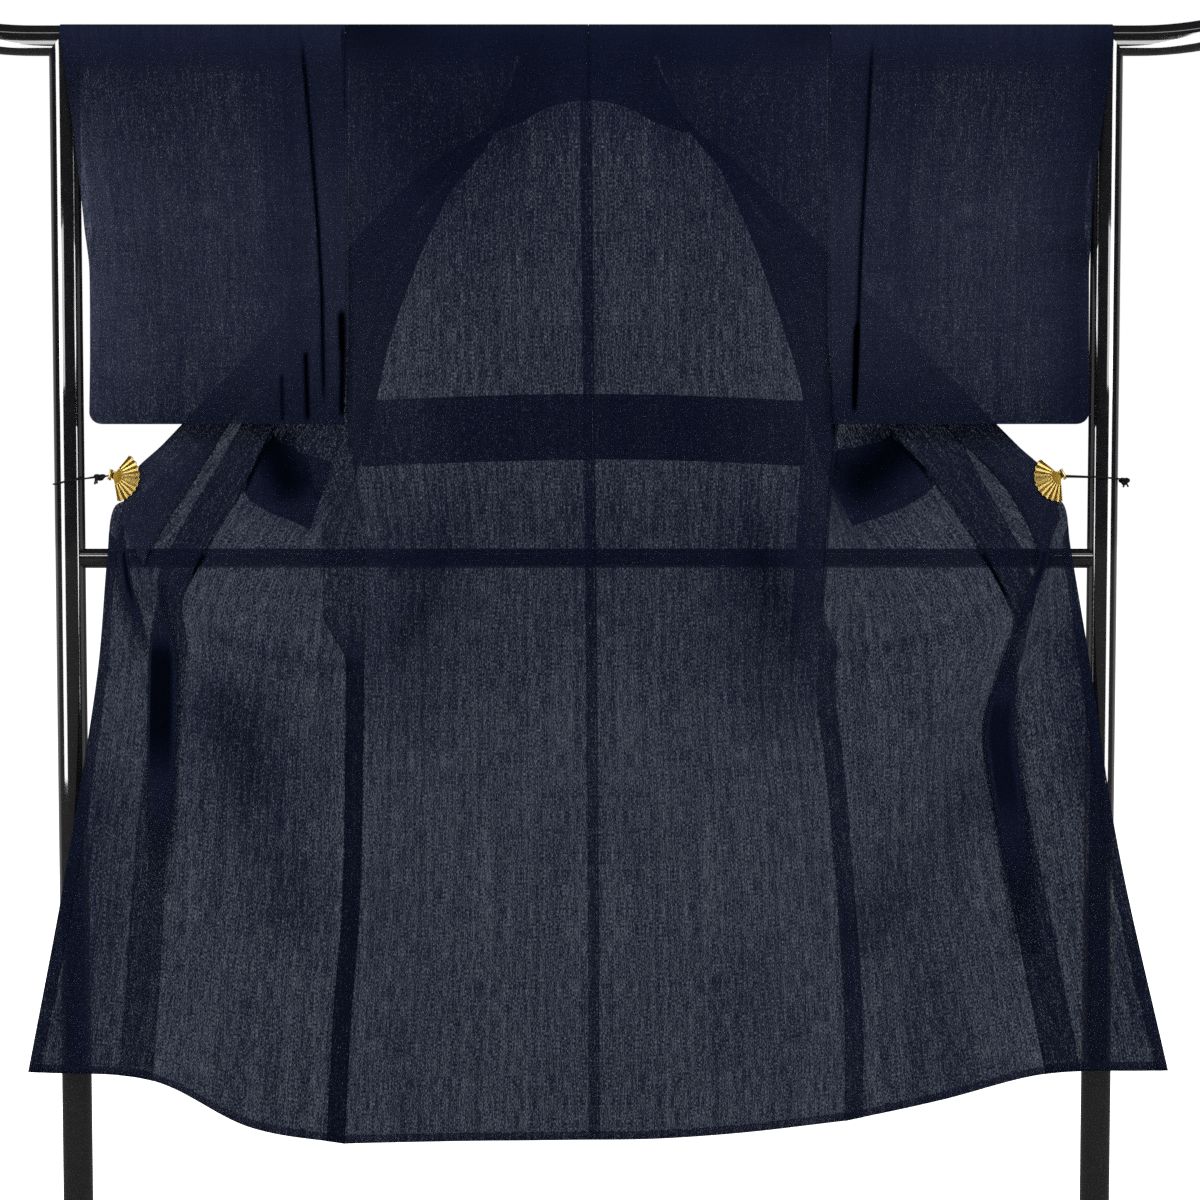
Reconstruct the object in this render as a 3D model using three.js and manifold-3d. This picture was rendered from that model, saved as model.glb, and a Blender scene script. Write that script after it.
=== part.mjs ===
// A summer kimono in sheer unlined cloth, hung by its sleeves on the top bar of a metal garment
// rack, back outwards. Both fronts are opened sideways and held at the ends of the collar by two
// fan-shaped clips tied to the posts.
// Millimetres. X runs along the top bar, Z is up and the back of the kimono faces -Y.
// The floor is z = 0, and the origin lies midway between the posts.
import * as THREE from 'three';
import { mergeVertices } from 'three/addons/utils/BufferGeometryUtils.js';
import Module from 'manifold-3d';

const wasm = await Module();
wasm.setup();

// ---- driving sizes: rack ----
const tubeRadius = 19;
const crossRadius = 12.7;
const barHeight = 1631;
const barHalfLength = 850;
const barBendStart = 711;
const barBendRadius = 500;
const crossHeight = 963.5;
const postX = 673;
const footLength = 430;
const footWidth = 42;
const footTop = 30;
const padHeight = 6;
const padRadius = 15;
const padInset = 35;
const socketWall = 4;
const socketHeight = 32;
const capLength = 14;
const seatGap = 0.3;

// ---- driving sizes: cloth ----
const clothThickness = 1.2;
const doubledThickness = 2.4;
const seamGap = 0.5;
const layerGap = 0.4;
const foldRadius = 20.2; // middle of the cloth where it lies over the bar
const quarterFold = foldRadius * Math.PI / 2;
const garmentLength = 1463; // shoulder to hem
const neckHalfWidth = 88;
const neckDrop = 40; // along the cloth from the shoulder line to the neck seam
const armholeDown = 438;
const okumiTipDown = 260;
const armholeBottomZ = 1225;
const sideTopZ = 1145;
const sleeveBottomZ = 1137;
const sleeveBottomY = -25;
const sleeveGapAtSeam = 1.9;
const sleeveGapAtBottom = 3.4;
const cuffClearZ = 1422; // the cuff's edge clears the post below this
const sleeveCornerRadius = 16;
const hemY = -34;

// Lines that the panels follow, for each half of the garment. "down" is the distance from the
// shoulder line along the cloth. side: the side seam, with its height instead of "down".
// turn: the bottom fold of the cloth that hangs slack between the bar and the collar, and lower
// down the middle of the front. seam: front to okumi. edge: the outer edge of the okumi, sewn
// to the collar as far as the clip. rim: the free edge of the collar.
const halves = {
  left: {
    sign: -1,
    side: [
      { z: 1652, x: -308 },
      { z: 1225, x: -308 },
      { z: 1145, x: -309 },
      { z: 1062, x: -297 },
      { z: 980, x: -287 },
      { z: 780, x: -288 },
      { z: 507, x: -294 },
      { z: 375, x: -305 },
      { z: 200, x: -315 },
    ],
    turn: [
      { down: 32, x: -190, z: 1631, y: 20 },
      { down: 120, x: -122, z: 1529, y: 24 },
      { down: 240, x: -190, z: 1425, y: 21 },
      { down: 400, x: -251, z: 1263, y: 10 },
      { down: 518, x: -275, z: 1158, y: -5 },
      { down: 590, x: -296, z: 1080, y: -16 },
      { down: 720, x: -372, z: 963, y: -21 },
      { down: 870, x: -402, z: 815, y: -25 },
      { down: 1170, x: -418, z: 520, y: -29 },
      { down: 1463, x: -440, z: 222, y: -34 },
    ],
    seam: [
      { down: 32, x: -88, z: 1631, y: 20 },
      { down: 120, x: -112, z: 1541, y: 28 },
      { down: 260, x: -182, z: 1455, y: 27 },
      { down: 400, x: -285, z: 1308, y: 15 },
      { down: 555, x: -403, z: 1132, y: -8 },
      { down: 640, x: -442, z: 1056, y: -14 },
      { down: 805, x: -521, z: 914, y: -20 },
      { down: 870, x: -517, z: 848, y: -22 },
      { down: 1100, x: -541, z: 624, y: -28 },
      { down: 1330, x: -556, z: 400, y: -31 },
      { down: 1463, x: -565, z: 283, y: -34 },
    ],
    edge: [
      { down: 260, x: -188, z: 1458, y: 27 },
      { down: 400, x: -300, z: 1325, y: 16 },
      { down: 555, x: -403, z: 1203, y: 4 },
      { down: 700, x: -500, z: 1095, y: -6 },
      { down: 780, x: -586, z: 1044, y: -8 },
      { down: 810, x: -613, z: 1030, y: -9 },
      { down: 870, x: -620, z: 972, y: -17 },
      { down: 1010, x: -634, z: 810, y: -24 },
      { down: 1215, x: -675, z: 560, y: -31 },
      { down: 1463, x: -727, z: 295, y: -34 },
    ],
    rim: [
      { down: 80, x: -116, z: 1522, y: 35 },
      { down: 120, x: -140, z: 1517, y: 37 },
      { down: 260, x: -228, z: 1457, y: 31 },
      { down: 400, x: -336, z: 1341, y: 20 },
      { down: 555, x: -440, z: 1229, y: 8 },
      { down: 700, x: -548, z: 1113, y: -7 },
      { down: 760, x: -590, z: 1070, y: -12 },
      { down: 825, x: -604, z: 1010, y: -15 },
    ],
    cuff: [
      { z: 1652, x: -676 },
      { z: 1532, x: -660 },
      { z: 1444, x: -650 },
      { z: 1367, x: -643 },
      { z: 1240, x: -640 },
      { z: 1137, x: -640 },
    ],
    hem: { side: 200, middle: 205 },
    pleat: { top: -360, bottom: -333 },
    backTuck: { sideX: -290, top: 1167, bottom: 1082 },
    frontTuck: { fold: [[585, 1.38], [680, 1.06]], seam: [[560, 2], [645, 2]] },
    clip: { x: -612, z: 1071, from: -82, to: 42 },
    tie: { farZ: 1060, from: 83, to: 312, endX: -636, endY: -13, knotX: -636, knotY: -14, knotZ: 1068 },
  },
  right: {
    sign: 1,
    side: [
      { z: 1652, x: 313 },
      { z: 1225, x: 314 },
      { z: 1145, x: 322 },
      { z: 1062, x: 315 },
      { z: 980, x: 310 },
      { z: 838, x: 301 },
      { z: 780, x: 300 },
      { z: 650, x: 315 },
      { z: 390, x: 335 },
      { z: 230, x: 338 },
    ],
    turn: [
      { down: 32, x: 195, z: 1631, y: 20 },
      { down: 120, x: 136, z: 1531, y: 24 },
      { down: 210, x: 168, z: 1484, y: 22 },
      { down: 310, x: 219, z: 1372, y: 17 },
      { down: 440, x: 271, z: 1218, y: 5 },
      { down: 518, x: 284, z: 1163, y: -5 },
      { down: 590, x: 308, z: 1080, y: -16 },
      { down: 720, x: 386, z: 955, y: -21 },
      { down: 870, x: 424, z: 822, y: -25 },
      { down: 1170, x: 425, z: 540, y: -29 },
      { down: 1463, x: 464, z: 258, y: -34 },
    ],
    seam: [
      { down: 32, x: 88, z: 1631, y: 20 },
      { down: 120, x: 124, z: 1541, y: 28 },
      { down: 260, x: 205, z: 1438, y: 27 },
      { down: 400, x: 292, z: 1308, y: 15 },
      { down: 555, x: 394, z: 1129, y: -8 },
      { down: 640, x: 446, z: 1068, y: -14 },
      { down: 825, x: 551, z: 897, y: -20 },
      { down: 900, x: 536, z: 820, y: -23 },
      { down: 985, x: 513, z: 745, y: -26 },
      { down: 1110, x: 532, z: 624, y: -28 },
      { down: 1463, x: 598, z: 292, y: -34 },
    ],
    edge: [
      { down: 260, x: 211, z: 1441, y: 27 },
      { down: 400, x: 306, z: 1322, y: 16 },
      { down: 555, x: 407, z: 1203, y: 4 },
      { down: 700, x: 512, z: 1093, y: -6 },
      { down: 780, x: 596, z: 1046, y: -8 },
      { down: 810, x: 620, z: 1034, y: -9 },
      { down: 870, x: 627, z: 982, y: -17 },
      { down: 1010, x: 653, z: 826, y: -24 },
      { down: 1215, x: 690, z: 590, y: -31 },
      { down: 1463, x: 758, z: 297, y: -34 },
    ],
    rim: [
      { down: 80, x: 122, z: 1522, y: 35 },
      { down: 120, x: 152, z: 1517, y: 37 },
      { down: 260, x: 248, z: 1432, y: 31 },
      { down: 400, x: 344, z: 1333, y: 20 },
      { down: 555, x: 448, z: 1226, y: 8 },
      { down: 700, x: 560, z: 1110, y: -7 },
      { down: 760, x: 600, z: 1070, y: -12 },
      { down: 825, x: 614, z: 1016, y: -15 },
    ],
    cuff: [
      { z: 1652, x: 677 },
      { z: 1556, x: 667 },
      { z: 1425, x: 651 },
      { z: 1338, x: 650 },
      { z: 1152, x: 648 },
      { z: 1137, x: 648 },
    ],
    hem: { side: 230, middle: 205 },
    pleat: { top: 363, bottom: 343 },
    backTuck: { sideX: 283, top: 1167, bottom: 1083 },
    frontTuck: { fold: [[575, 1.0], [665, 0.8]], seam: [[558, 2], [650, 2]] },
    clip: { x: 614, z: 1071, from: 140, to: 284 },
    tie: { farZ: 1067, from: 83, to: 300, endX: 617.9, endY: -8.6, knotX: 698, knotY: 0, knotZ: 1067 },
  },
};
const middleLine = [
  { z: 1652, x: 3 },
  { z: 1168, x: 8 },
  { z: 650, x: 13 },
  { z: 205, x: 15 },
];
// The collar behind the neck: its sewn edge and the free edge that hangs from it.
const neckLine = [
  { share: 0, sewnX: 84, sewnZ: 1622, freeX: 92, freeZ: 1532, freeY: 31 },
  { share: 0.25, sewnX: 46, sewnZ: 1622, freeX: 50, freeZ: 1552, freeY: 24 },
  { share: 0.5, sewnX: 2, sewnZ: 1622, freeX: 3, freeZ: 1560, freeY: 23 },
  { share: 0.75, sewnX: -42, sewnZ: 1622, freeX: -46, freeZ: 1552, freeY: 24 },
  { share: 1, sewnX: -84, sewnZ: 1622, freeX: -88, freeZ: 1532, freeY: 31 },
];

// ---- clips and ties ----
const fanRadius = 33;
const fanThickness = 2.6;
const fanY = -17.6;
const jawRadius = 22;
const jawThickness = 1.6;
const jawY = -5.6;
const hubRadius = 6;
const hingeRadius = 3.4;
const cordRadius = 1.1;
const cordSides = 6;
const knotRadius = 4.6;
const tieY = -13.2;
const tieSteps = 11;

const finishes = {
  cloth: { color: 0x2e3140, roughness: 0.85, metalness: 0 },
  collar: { color: 0x1b1d2a, roughness: 0.85, metalness: 0 },
  gloss: { color: 0x0a0a0c, roughness: 0.15, metalness: 0.3 },
  gold: { color: 0xd9b13b, roughness: 0.25, metalness: 1 },
  cord: { color: 0x17181c, roughness: 0.8, metalness: 0 },
  rubber: { color: 0x1a1a1a, roughness: 0.9, metalness: 0 },
};

const garment = new THREE.Group();

function add(name, geometry, finish) {
  const mesh = new THREE.Mesh(geometry, new THREE.MeshStandardMaterial(finishes[finish]));
  mesh.name = name;
  garment.add(mesh);
  return mesh;
}

// One column of a table, read off a smooth curve through its rows.
function along(table, key, at, column) {
  const ascending = table[table.length - 1][key] > table[0][key];
  const rows = ascending ? table : [...table].reverse();
  const last = rows.length - 1;
  if (at <= rows[0][key]) return rows[0][column];
  if (at >= rows[last][key]) return rows[last][column];
  let i = 0;
  while (rows[i + 1][key] < at) i += 1;
  const slope = (a, b) => (rows[b][column] - rows[a][column]) / (rows[b][key] - rows[a][key]);
  const step = rows[i + 1][key] - rows[i][key];
  const t = (at - rows[i][key]) / step;
  const before = slope(Math.max(i - 1, 0), i + 1) * step;
  const after = slope(i, Math.min(i + 2, last)) * step;
  const start = rows[i][column];
  const end = rows[i + 1][column];
  return start * (2 * t ** 3 - 3 * t ** 2 + 1) + before * (t ** 3 - 2 * t ** 2 + t)
    + end * (3 * t ** 2 - 2 * t ** 3) + after * (t ** 3 - t ** 2);
}

function placeAlong(table, down) {
  return new THREE.Vector3(
    along(table, 'down', down, 'x'),
    along(table, 'down', down, 'y'),
    along(table, 'down', down, 'z'),
  );
}

const mix = (a, b, share) => a + (b - a) * share;
const ease = (share) => {
  const s = Math.min(Math.max(share, 0), 1);
  return s * s * (3 - 2 * s);
};

// The back hangs straight from the bar and leans out towards the hem.
function backY(z) {
  return mix(-foldRadius, hemY, ease((sideTopZ - z) / 900));
}

// The front edge of the armhole starts behind the bar and ends at the side seam.
function armholeY(z) {
  return mix(foldRadius, backY(sideTopZ), Math.min((barHeight - z) / (barHeight - sideTopZ), 1));
}

function backPoint(half, down, share) {
  if (down < quarterFold) {
    const angle = down / foldRadius;
    const z = barHeight + foldRadius * Math.cos(angle);
    const x = mix(along(half.side, 'z', z, 'x'), along(middleLine, 'z', z, 'x'), share);
    return new THREE.Vector3(x, -foldRadius * Math.sin(angle), z);
  }
  const hem = mix(half.hem.side, half.hem.middle, Math.sin(share * Math.PI / 2));
  const z = mix(barHeight, hem, (down - quarterFold) / (garmentLength - quarterFold));
  const x = mix(along(half.side, 'z', z, 'x'), along(middleLine, 'z', z, 'x'), share);
  return new THREE.Vector3(x, backY(z), z);
}

function frontSide(half, down) {
  const point = backPoint(half, down, 0);
  if (point.z > sideTopZ) point.y = armholeY(point.z);
  return point;
}

// A place across the front: 0 side seam, 1 slack fold, 2 okumi seam, 3 okumi edge.
function frontPoint(half, down, across) {
  const side = frontSide(half, down);
  const turn = placeAlong(half.turn, down);
  const seam = placeAlong(half.seam, down);
  const edge = down > okumiTipDown
    ? placeAlong(half.edge, down)
    : seam.clone().lerp(turn, -0.3);
  const curve = new THREE.CatmullRomCurve3([side, turn, seam, edge], false, 'centripetal');
  return curve.getPoint(across / 3);
}

// A wall of cloth on a grid of points, closed all round. "holds" says which cells are cloth.
function wall(points, thickness, { wrap = false, holds = () => true } = {}) {
  const rows = points.length;
  const cols = points[0].length;
  const cells = [];
  for (let i = 0; i < rows - 1; i += 1) {
    for (let j = 0; j < (wrap ? cols : cols - 1); j += 1) {
      if (holds(i, j)) cells.push([[i, j], [i, (j + 1) % cols], [i + 1, (j + 1) % cols], [i + 1, j]]);
    }
  }
  const key = ([i, j]) => i * cols + j;
  const normals = new Map();
  for (const cell of cells) {
    const [a, b, c, d] = cell.map(([i, j]) => points[i][j]);
    const normal = new THREE.Vector3().crossVectors(c.clone().sub(a), d.clone().sub(b)).normalize();
    for (const corner of cell) {
      const sum = normals.get(key(corner)) ?? new THREE.Vector3();
      normals.set(key(corner), sum.add(normal));
    }
  }
  const position = [];
  const index = [];
  const outer = new Map();
  const inner = new Map();
  for (const [id, normal] of normals) {
    const point = points[Math.floor(id / cols)][id % cols];
    const offset = normal.normalize().multiplyScalar(thickness / 2);
    outer.set(id, position.length / 3);
    position.push(...point.clone().add(offset).toArray());
    inner.set(id, position.length / 3);
    position.push(...point.clone().sub(offset).toArray());
  }
  const edges = new Map();
  for (const cell of cells) {
    const [a, b, c, d] = cell.map(key);
    index.push(outer.get(a), outer.get(b), outer.get(c), outer.get(a), outer.get(c), outer.get(d));
    index.push(inner.get(a), inner.get(c), inner.get(b), inner.get(a), inner.get(d), inner.get(c));
    for (const [p, q] of [[a, b], [b, c], [c, d], [d, a]]) {
      if (edges.has(`${q}_${p}`)) edges.delete(`${q}_${p}`);
      else edges.set(`${p}_${q}`, [p, q]);
    }
  }
  for (const [p, q] of edges.values()) {
    index.push(outer.get(q), outer.get(p), inner.get(p), outer.get(q), inner.get(p), inner.get(q));
  }
  const geometry = new THREE.BufferGeometry();
  geometry.setAttribute('position', new THREE.Float32BufferAttribute(position, 3));
  geometry.setIndex(index);
  return geometry;
}

// Draw the first and last points of each row in by half a seam gap.
function trimSides(points, first, last) {
  for (const row of points) {
    const end = row.length - 1;
    if (first) row[0].lerp(row[1], seamGap / 2 / Math.max(row[0].distanceTo(row[1]), seamGap));
    if (last) {
      row[end].lerp(row[end - 1], seamGap / 2 / Math.max(row[end].distanceTo(row[end - 1]), seamGap));
    }
  }
  return points;
}

// ---- body panels: back, over the shoulder and front, cut in one ----
const foldSteps = 5;
const lowerDowns = [80, 120, 165, 210, 260, 310, 360, 400, armholeDown, 480, 518, 555, 590, 640, 700,
  760, 825, 870, 940, 1010, 1110, 1215, 1330, garmentLength];
const frontColumns = 8;
const neckColumns = 3;

const foldDowns = [...Array(foldSteps + 1).keys()].map((i) => i * quarterFold / foldSteps);
const sheetDowns = [...foldDowns, neckDrop, ...lowerDowns];
const neckShare = (half) => {
  const side = Math.abs(along(half.side, 'z', barHeight, 'x'));
  return (side - neckHalfWidth) / side;
};

function backShare(half, column) {
  if (column <= frontColumns) return neckShare(half) * column / frontColumns;
  return mix(neckShare(half), 1, (column - frontColumns) / neckColumns);
}

// Over the bar and just behind it the front still lies as wide as the shoulder.
function shoulderPoint(half, down, column) {
  const point = backPoint(half, down, backShare(half, column));
  return new THREE.Vector3(point.x, -point.y, point.z);
}

function bodyPanel(half) {
  const columns = [...Array(frontColumns + neckColumns + 1).keys()];
  const rows = [];
  for (const down of [...sheetDowns].reverse()) {
    rows.push(columns.map((column) => backPoint(half, down, backShare(half, column))));
  }
  const foldRow = rows.length - 1;
  for (const down of sheetDowns.slice(1)) {
    rows.push(columns.map((column) => {
      if (down <= neckDrop) return shoulderPoint(half, down, column);
      return frontPoint(half, down, Math.min(column / frontColumns, 1) * 2);
    }));
  }
  const neckRow = foldRow + foldDowns.length;
  trimSides(rows, true, false);
  rows.forEach((row, i) => {
    const inner = row[frontColumns + neckColumns];
    if (i <= neckRow) inner.x += half.sign * seamGap / 2;
    else row[frontColumns].lerp(row[frontColumns - 1], seamGap / 2 / row[frontColumns]
      .distanceTo(row[frontColumns - 1]));
  });
  return wall(rows, clothThickness, { holds: (i, j) => i < neckRow || j < frontColumns });
}

// ---- okumi: the tapered panel down the front edge ----
const okumiColumns = 4;

function okumiGrid(half) {
  const rows = sheetDowns.filter((down) => down >= okumiTipDown + 50).map((down) => {
    const row = [];
    for (let j = 0; j <= okumiColumns; j += 1) row.push(frontPoint(half, down, 2 + j / okumiColumns));
    return row;
  });
  return trimSides(rows, true, true);
}

// ---- collar: one folded band from clip to clip, over the back of the neck ----
const collarColumns = 3;
const collarEndDown = 825;
const neckStandOff = 3.6; // the collar turns over beside the neck, behind the fronts
const tailStart = 700;
const tailShare = 0.5; // how far the collar's tail reaches in over the okumi

function collarSewn(half, down) {
  if (down <= okumiTipDown) return frontPoint(half, down, 2);
  if (down <= tailStart) return frontPoint(half, down, 3);
  const reach = tailShare * ease((down - tailStart) / (collarEndDown - tailStart));
  return frontPoint(half, down, 3 - reach);
}

function collarRow(half, down) {
  const sewn = collarSewn(half, down);
  const rim = placeAlong(half.rim, down);
  const lift = (doubledThickness + clothThickness) / 2 + 3 * layerGap;
  const over = ease((down - tailStart + 90) / 90);
  sewn.y += neckStandOff * ease((okumiTipDown + 140 - down) / 200) - lift * over;
  const row = [];
  for (let j = 0; j <= collarColumns; j += 1) {
    row.push(sewn.clone().lerp(rim, mix(0, 1, j / collarColumns)));
  }
  row[0].lerp(rim, mix(seamGap, 0, over) / sewn.distanceTo(rim));
  return row;
}

function collarGrid() {
  const downs = lowerDowns.filter((down) => down <= collarEndDown);
  const right = downs.map((down) => collarRow(halves.right, down)).reverse();
  const left = downs.map((down) => collarRow(halves.left, down));
  const behind = [];
  const steps = 10;
  for (let i = 0; i <= steps; i += 1) {
    const share = i / steps;
    const read = (column) => along(neckLine, 'share', share, column);
    const sewn = new THREE.Vector3(read('sewnX'), foldRadius, read('sewnZ') - seamGap);
    const free = new THREE.Vector3(read('freeX'), read('freeY'), read('freeZ'));
    const row = [];
    for (let j = 0; j <= collarColumns; j += 1) row.push(sewn.clone().lerp(free, j / collarColumns));
    behind.push(row);
  }
  return [...right, ...behind, ...left];
}

// ---- sleeves: pouches over the bar, open at the cuff and the armhole ----
const sleeveHeights = [0, 3, 9, sleeveCornerRadius, 45, 88, 150, 243, 330, 415, 494];
const sleeveShares = [0.2, 0.35, 0.5, 0.65, 0.8, 0.9, 1];
const pleatDepth = 5;

function cuffX(half, z) {
  const x = along(half.cuff, 'z', z, 'x');
  const up = z - sleeveBottomZ;
  if (up >= sleeveCornerRadius) return x;
  const rest = sleeveCornerRadius - up;
  const inset = sleeveCornerRadius - Math.sqrt(sleeveCornerRadius ** 2 - rest ** 2);
  return x - half.sign * inset;
}

// The two sheets of a sleeve close towards its bottom. By the cuff they first hang straight,
// one before and one behind the post, and below the cuff's opening they are sewn together.
function sleeveY(z, side, share) {
  const cuffward = ease((share - 0.55) / 0.4);
  const start = mix(barHeight, cuffClearZ, cuffward);
  const fall = Math.min(Math.max((start - z) / (start - sleeveBottomZ), 0), 1);
  const middle = sleeveBottomY * fall;
  const open = mix(foldRadius, sleeveGapAtBottom / 2, fall);
  const sewn = ease((cuffClearZ - 30 - z) / 60) * cuffward;
  return middle + side * mix(open, sleeveGapAtSeam / 2, sewn);
}

function sleevePoint(half, z, side, share) {
  const armX = along(half.side, 'z', Math.max(z, armholeBottomZ), 'x') + half.sign * 0.8;
  const drift = half.sign * 8 * ease((armholeBottomZ - z) / 90);
  const x = mix(armX + drift, cuffX(half, z), share);
  return new THREE.Vector3(x, sleeveY(z, side, share), z);
}

function sleeveGrid(half) {
  const pleatShare = (z) => {
    const x = mix(half.pleat.bottom, half.pleat.top, (z - sleeveBottomZ) / (barHeight - sleeveBottomZ));
    const arm = along(half.side, 'z', Math.max(z, armholeBottomZ), 'x') + half.sign * 0.8;
    return (x - arm) / (cuffX(half, z) - arm);
  };
  const columns = [-3, -2, -1, ...sleeveShares];
  const stations = columns.map((column) => {
    const shareAt = (z) => {
      const pleat = pleatShare(z);
      if (column === -3) return 0;
      if (column === -2) return pleat;
      if (column === -1) return pleat + 0.035;
      return column;
    };
    const loop = [];
    for (const up of sleeveHeights) {
      const z = sleeveBottomZ + up;
      loop.push(sleevePoint(half, z, 1, shareAt(z)));
    }
    const top = 2 * foldSteps;
    for (let i = 1; i < top; i += 1) {
      const angle = i * Math.PI / top;
      const z = barHeight + foldRadius * Math.sin(angle);
      const point = sleevePoint(half, z, 0, shareAt(z));
      point.y = foldRadius * Math.cos(angle);
      loop.push(point);
    }
    for (const up of [...sleeveHeights].reverse()) {
      const z = sleeveBottomZ + up;
      const point = sleevePoint(half, z, -1, shareAt(z));
      if (column === -2 && up > 100) point.y += pleatDepth * ease((up - 100) / 100) * ease((480 - up) / 120);
      loop.push(point);
    }
    return loop;
  });
  return half.sign < 0 ? stations : stations.reverse();
}

// ---- waist tucks: a deep horizontal tuck laid against the inside of back and fronts ----
const tuckOffset = (clothThickness + doubledThickness) / 2 + layerGap;
const tuckSlack = 0.7;

function backTuck(half) {
  const rows = [half.backTuck.top, half.backTuck.bottom].map((z) => {
    const row = [];
    const steps = 6;
    for (let i = 0; i <= steps; i += 1) {
      const middle = along(middleLine, 'z', z, 'x') + half.sign * seamGap / 2;
      const x = mix(half.backTuck.sideX, middle, i / steps);
      const bow = 9 * Math.sin(i / steps * Math.PI / 2);
      row.push(new THREE.Vector3(x, backY(z) + tuckOffset, z + bow));
    }
    return row;
  });
  return wall(half.sign < 0 ? rows.reverse() : rows, doubledThickness);
}

// The corners of the front tuck are pairs of "down" and a place across the front.
function frontTuck(half) {
  const { fold, seam } = half.frontTuck;
  const rows = [0, 1].map((edge) => {
    const row = [];
    const steps = 6;
    for (let i = 0; i <= steps; i += 1) {
      const point = frontPoint(half, mix(fold[edge][0], seam[edge][0], i / steps),
        mix(fold[edge][1], seam[edge][1], i / steps));
      point.y += tuckOffset + tuckSlack;
      row.push(point);
    }
    return row;
  });
  return wall(rows, doubledThickness);
}

// ---- rack ----
const tubeSides = 24;

// A manifold-3d solid of a closed geometry, and a geometry of such a solid.
function solid(geometry) {
  geometry.deleteAttribute('normal');
  geometry.deleteAttribute('uv');
  const merged = mergeVertices(geometry, 1e-4);
  return new wasm.Manifold(new wasm.Mesh({
    numProp: 3,
    vertProperties: merged.attributes.position.array,
    triVerts: new Uint32Array(merged.index.array),
  }));
}

function skin(body) {
  const mesh = body.getMesh();
  const geometry = new THREE.BufferGeometry();
  geometry.setAttribute('position', new THREE.BufferAttribute(mesh.vertProperties, 3));
  geometry.setIndex(new THREE.BufferAttribute(mesh.triVerts, 1));
  return geometry;
}

function upright(radius, low, high, x) {
  return new THREE.CylinderGeometry(radius, radius, high - low, tubeSides)
    .rotateX(Math.PI / 2).translate(x, 0, (low + high) / 2);
}

function lengthwise(radius, from, to, z) {
  return new THREE.CylinderGeometry(radius, radius, to - from, tubeSides)
    .rotateZ(Math.PI / 2).translate((from + to) / 2, 0, z);
}

// Height of the top bar's middle, which curves up past the posts.
function barZ(x) {
  const past = Math.max(Math.abs(x) - barBendStart, 0);
  return barHeight + past * past / (2 * barBendRadius);
}

function topBar() {
  const stops = [-1, -0.9, -0.8, -0.7, -0.6, -0.4, -0.2, 0].map((t) => barBendStart
    + (barHalfLength - barBendStart) * (1 + t));
  const xs = [...stops.map((x) => -x).reverse(), ...stops].filter((x, i, list) => i === 0 || x > list[i - 1]);
  const rings = xs.map((x) => {
    const slope = Math.max(Math.abs(x) - barBendStart, 0) / barBendRadius * Math.sign(x);
    const tilt = Math.atan(slope);
    const ring = [];
    for (let k = 0; k < tubeSides; k += 1) {
      const turn = k * 2 * Math.PI / tubeSides;
      const out = tubeRadius * Math.cos(turn);
      ring.push(new THREE.Vector3(x - out * Math.sin(tilt), tubeRadius * Math.sin(turn),
        barZ(x) + out * Math.cos(tilt)));
    }
    return ring;
  });
  return loft(rings);
}

// A closed solid through rings of points, flat at both ends.
function loft(rings) {
  const sides = rings[0].length;
  const position = rings.flat().flatMap((point) => point.toArray());
  const index = [];
  for (let i = 0; i < rings.length - 1; i += 1) {
    for (let k = 0; k < sides; k += 1) {
      const a = i * sides + k;
      const b = i * sides + (k + 1) % sides;
      index.push(a, b + sides, b, a, a + sides, b + sides);
    }
  }
  const last = (rings.length - 1) * sides;
  for (let k = 1; k < sides - 1; k += 1) {
    index.push(0, k, k + 1, last, last + k + 1, last + k);
  }
  const geometry = new THREE.BufferGeometry();
  geometry.setAttribute('position', new THREE.Float32BufferAttribute(position, 3));
  geometry.setIndex(index);
  return geometry;
}

function endCap(sign) {
  const profile = [[0, 0], [tubeRadius, 0], [tubeRadius, 3], [tubeRadius - 1.5, 8], [tubeRadius - 7, 12],
    [0, capLength]].map(([r, h]) => new THREE.Vector2(r, h));
  const slope = Math.atan((barHalfLength - barBendStart) / barBendRadius);
  return new THREE.LatheGeometry(profile, tubeSides).rotateX(Math.PI / 2).translate(0, 0, seatGap)
    .rotateY(sign * (Math.PI / 2 - slope)).translate(sign * barHalfLength, 0, barZ(barHalfLength));
}

function post(sign) {
  const shaft = solid(upright(tubeRadius, footTop + seatGap, barHeight, sign * postX));
  const seat = solid(lengthwise(tubeRadius + seatGap, sign * postX - 60, sign * postX + 60, barHeight));
  return skin(shaft.subtract(seat));
}

function crossBar() {
  const rod = solid(lengthwise(crossRadius, -postX, postX, crossHeight));
  const seats = [-1, 1].map((sign) => solid(upright(tubeRadius + seatGap, crossHeight - 60,
    crossHeight + 60, sign * postX)));
  return skin(rod.subtract(seats[0]).subtract(seats[1]));
}

function foot(sign) {
  const half = footWidth / 2;
  const shape = new THREE.Shape();
  shape.moveTo(-half, padHeight);
  shape.lineTo(half, padHeight);
  shape.lineTo(half, footTop - 8);
  shape.absarc(half - 8, footTop - 8, 8, 0, Math.PI / 2);
  shape.absarc(8 - half, footTop - 8, 8, Math.PI / 2, Math.PI);
  return new THREE.ExtrudeGeometry(shape, { depth: footLength, bevelEnabled: false, curveSegments: 4 })
    .rotateX(Math.PI / 2).translate(sign * postX, footLength / 2, 0);
}

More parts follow.
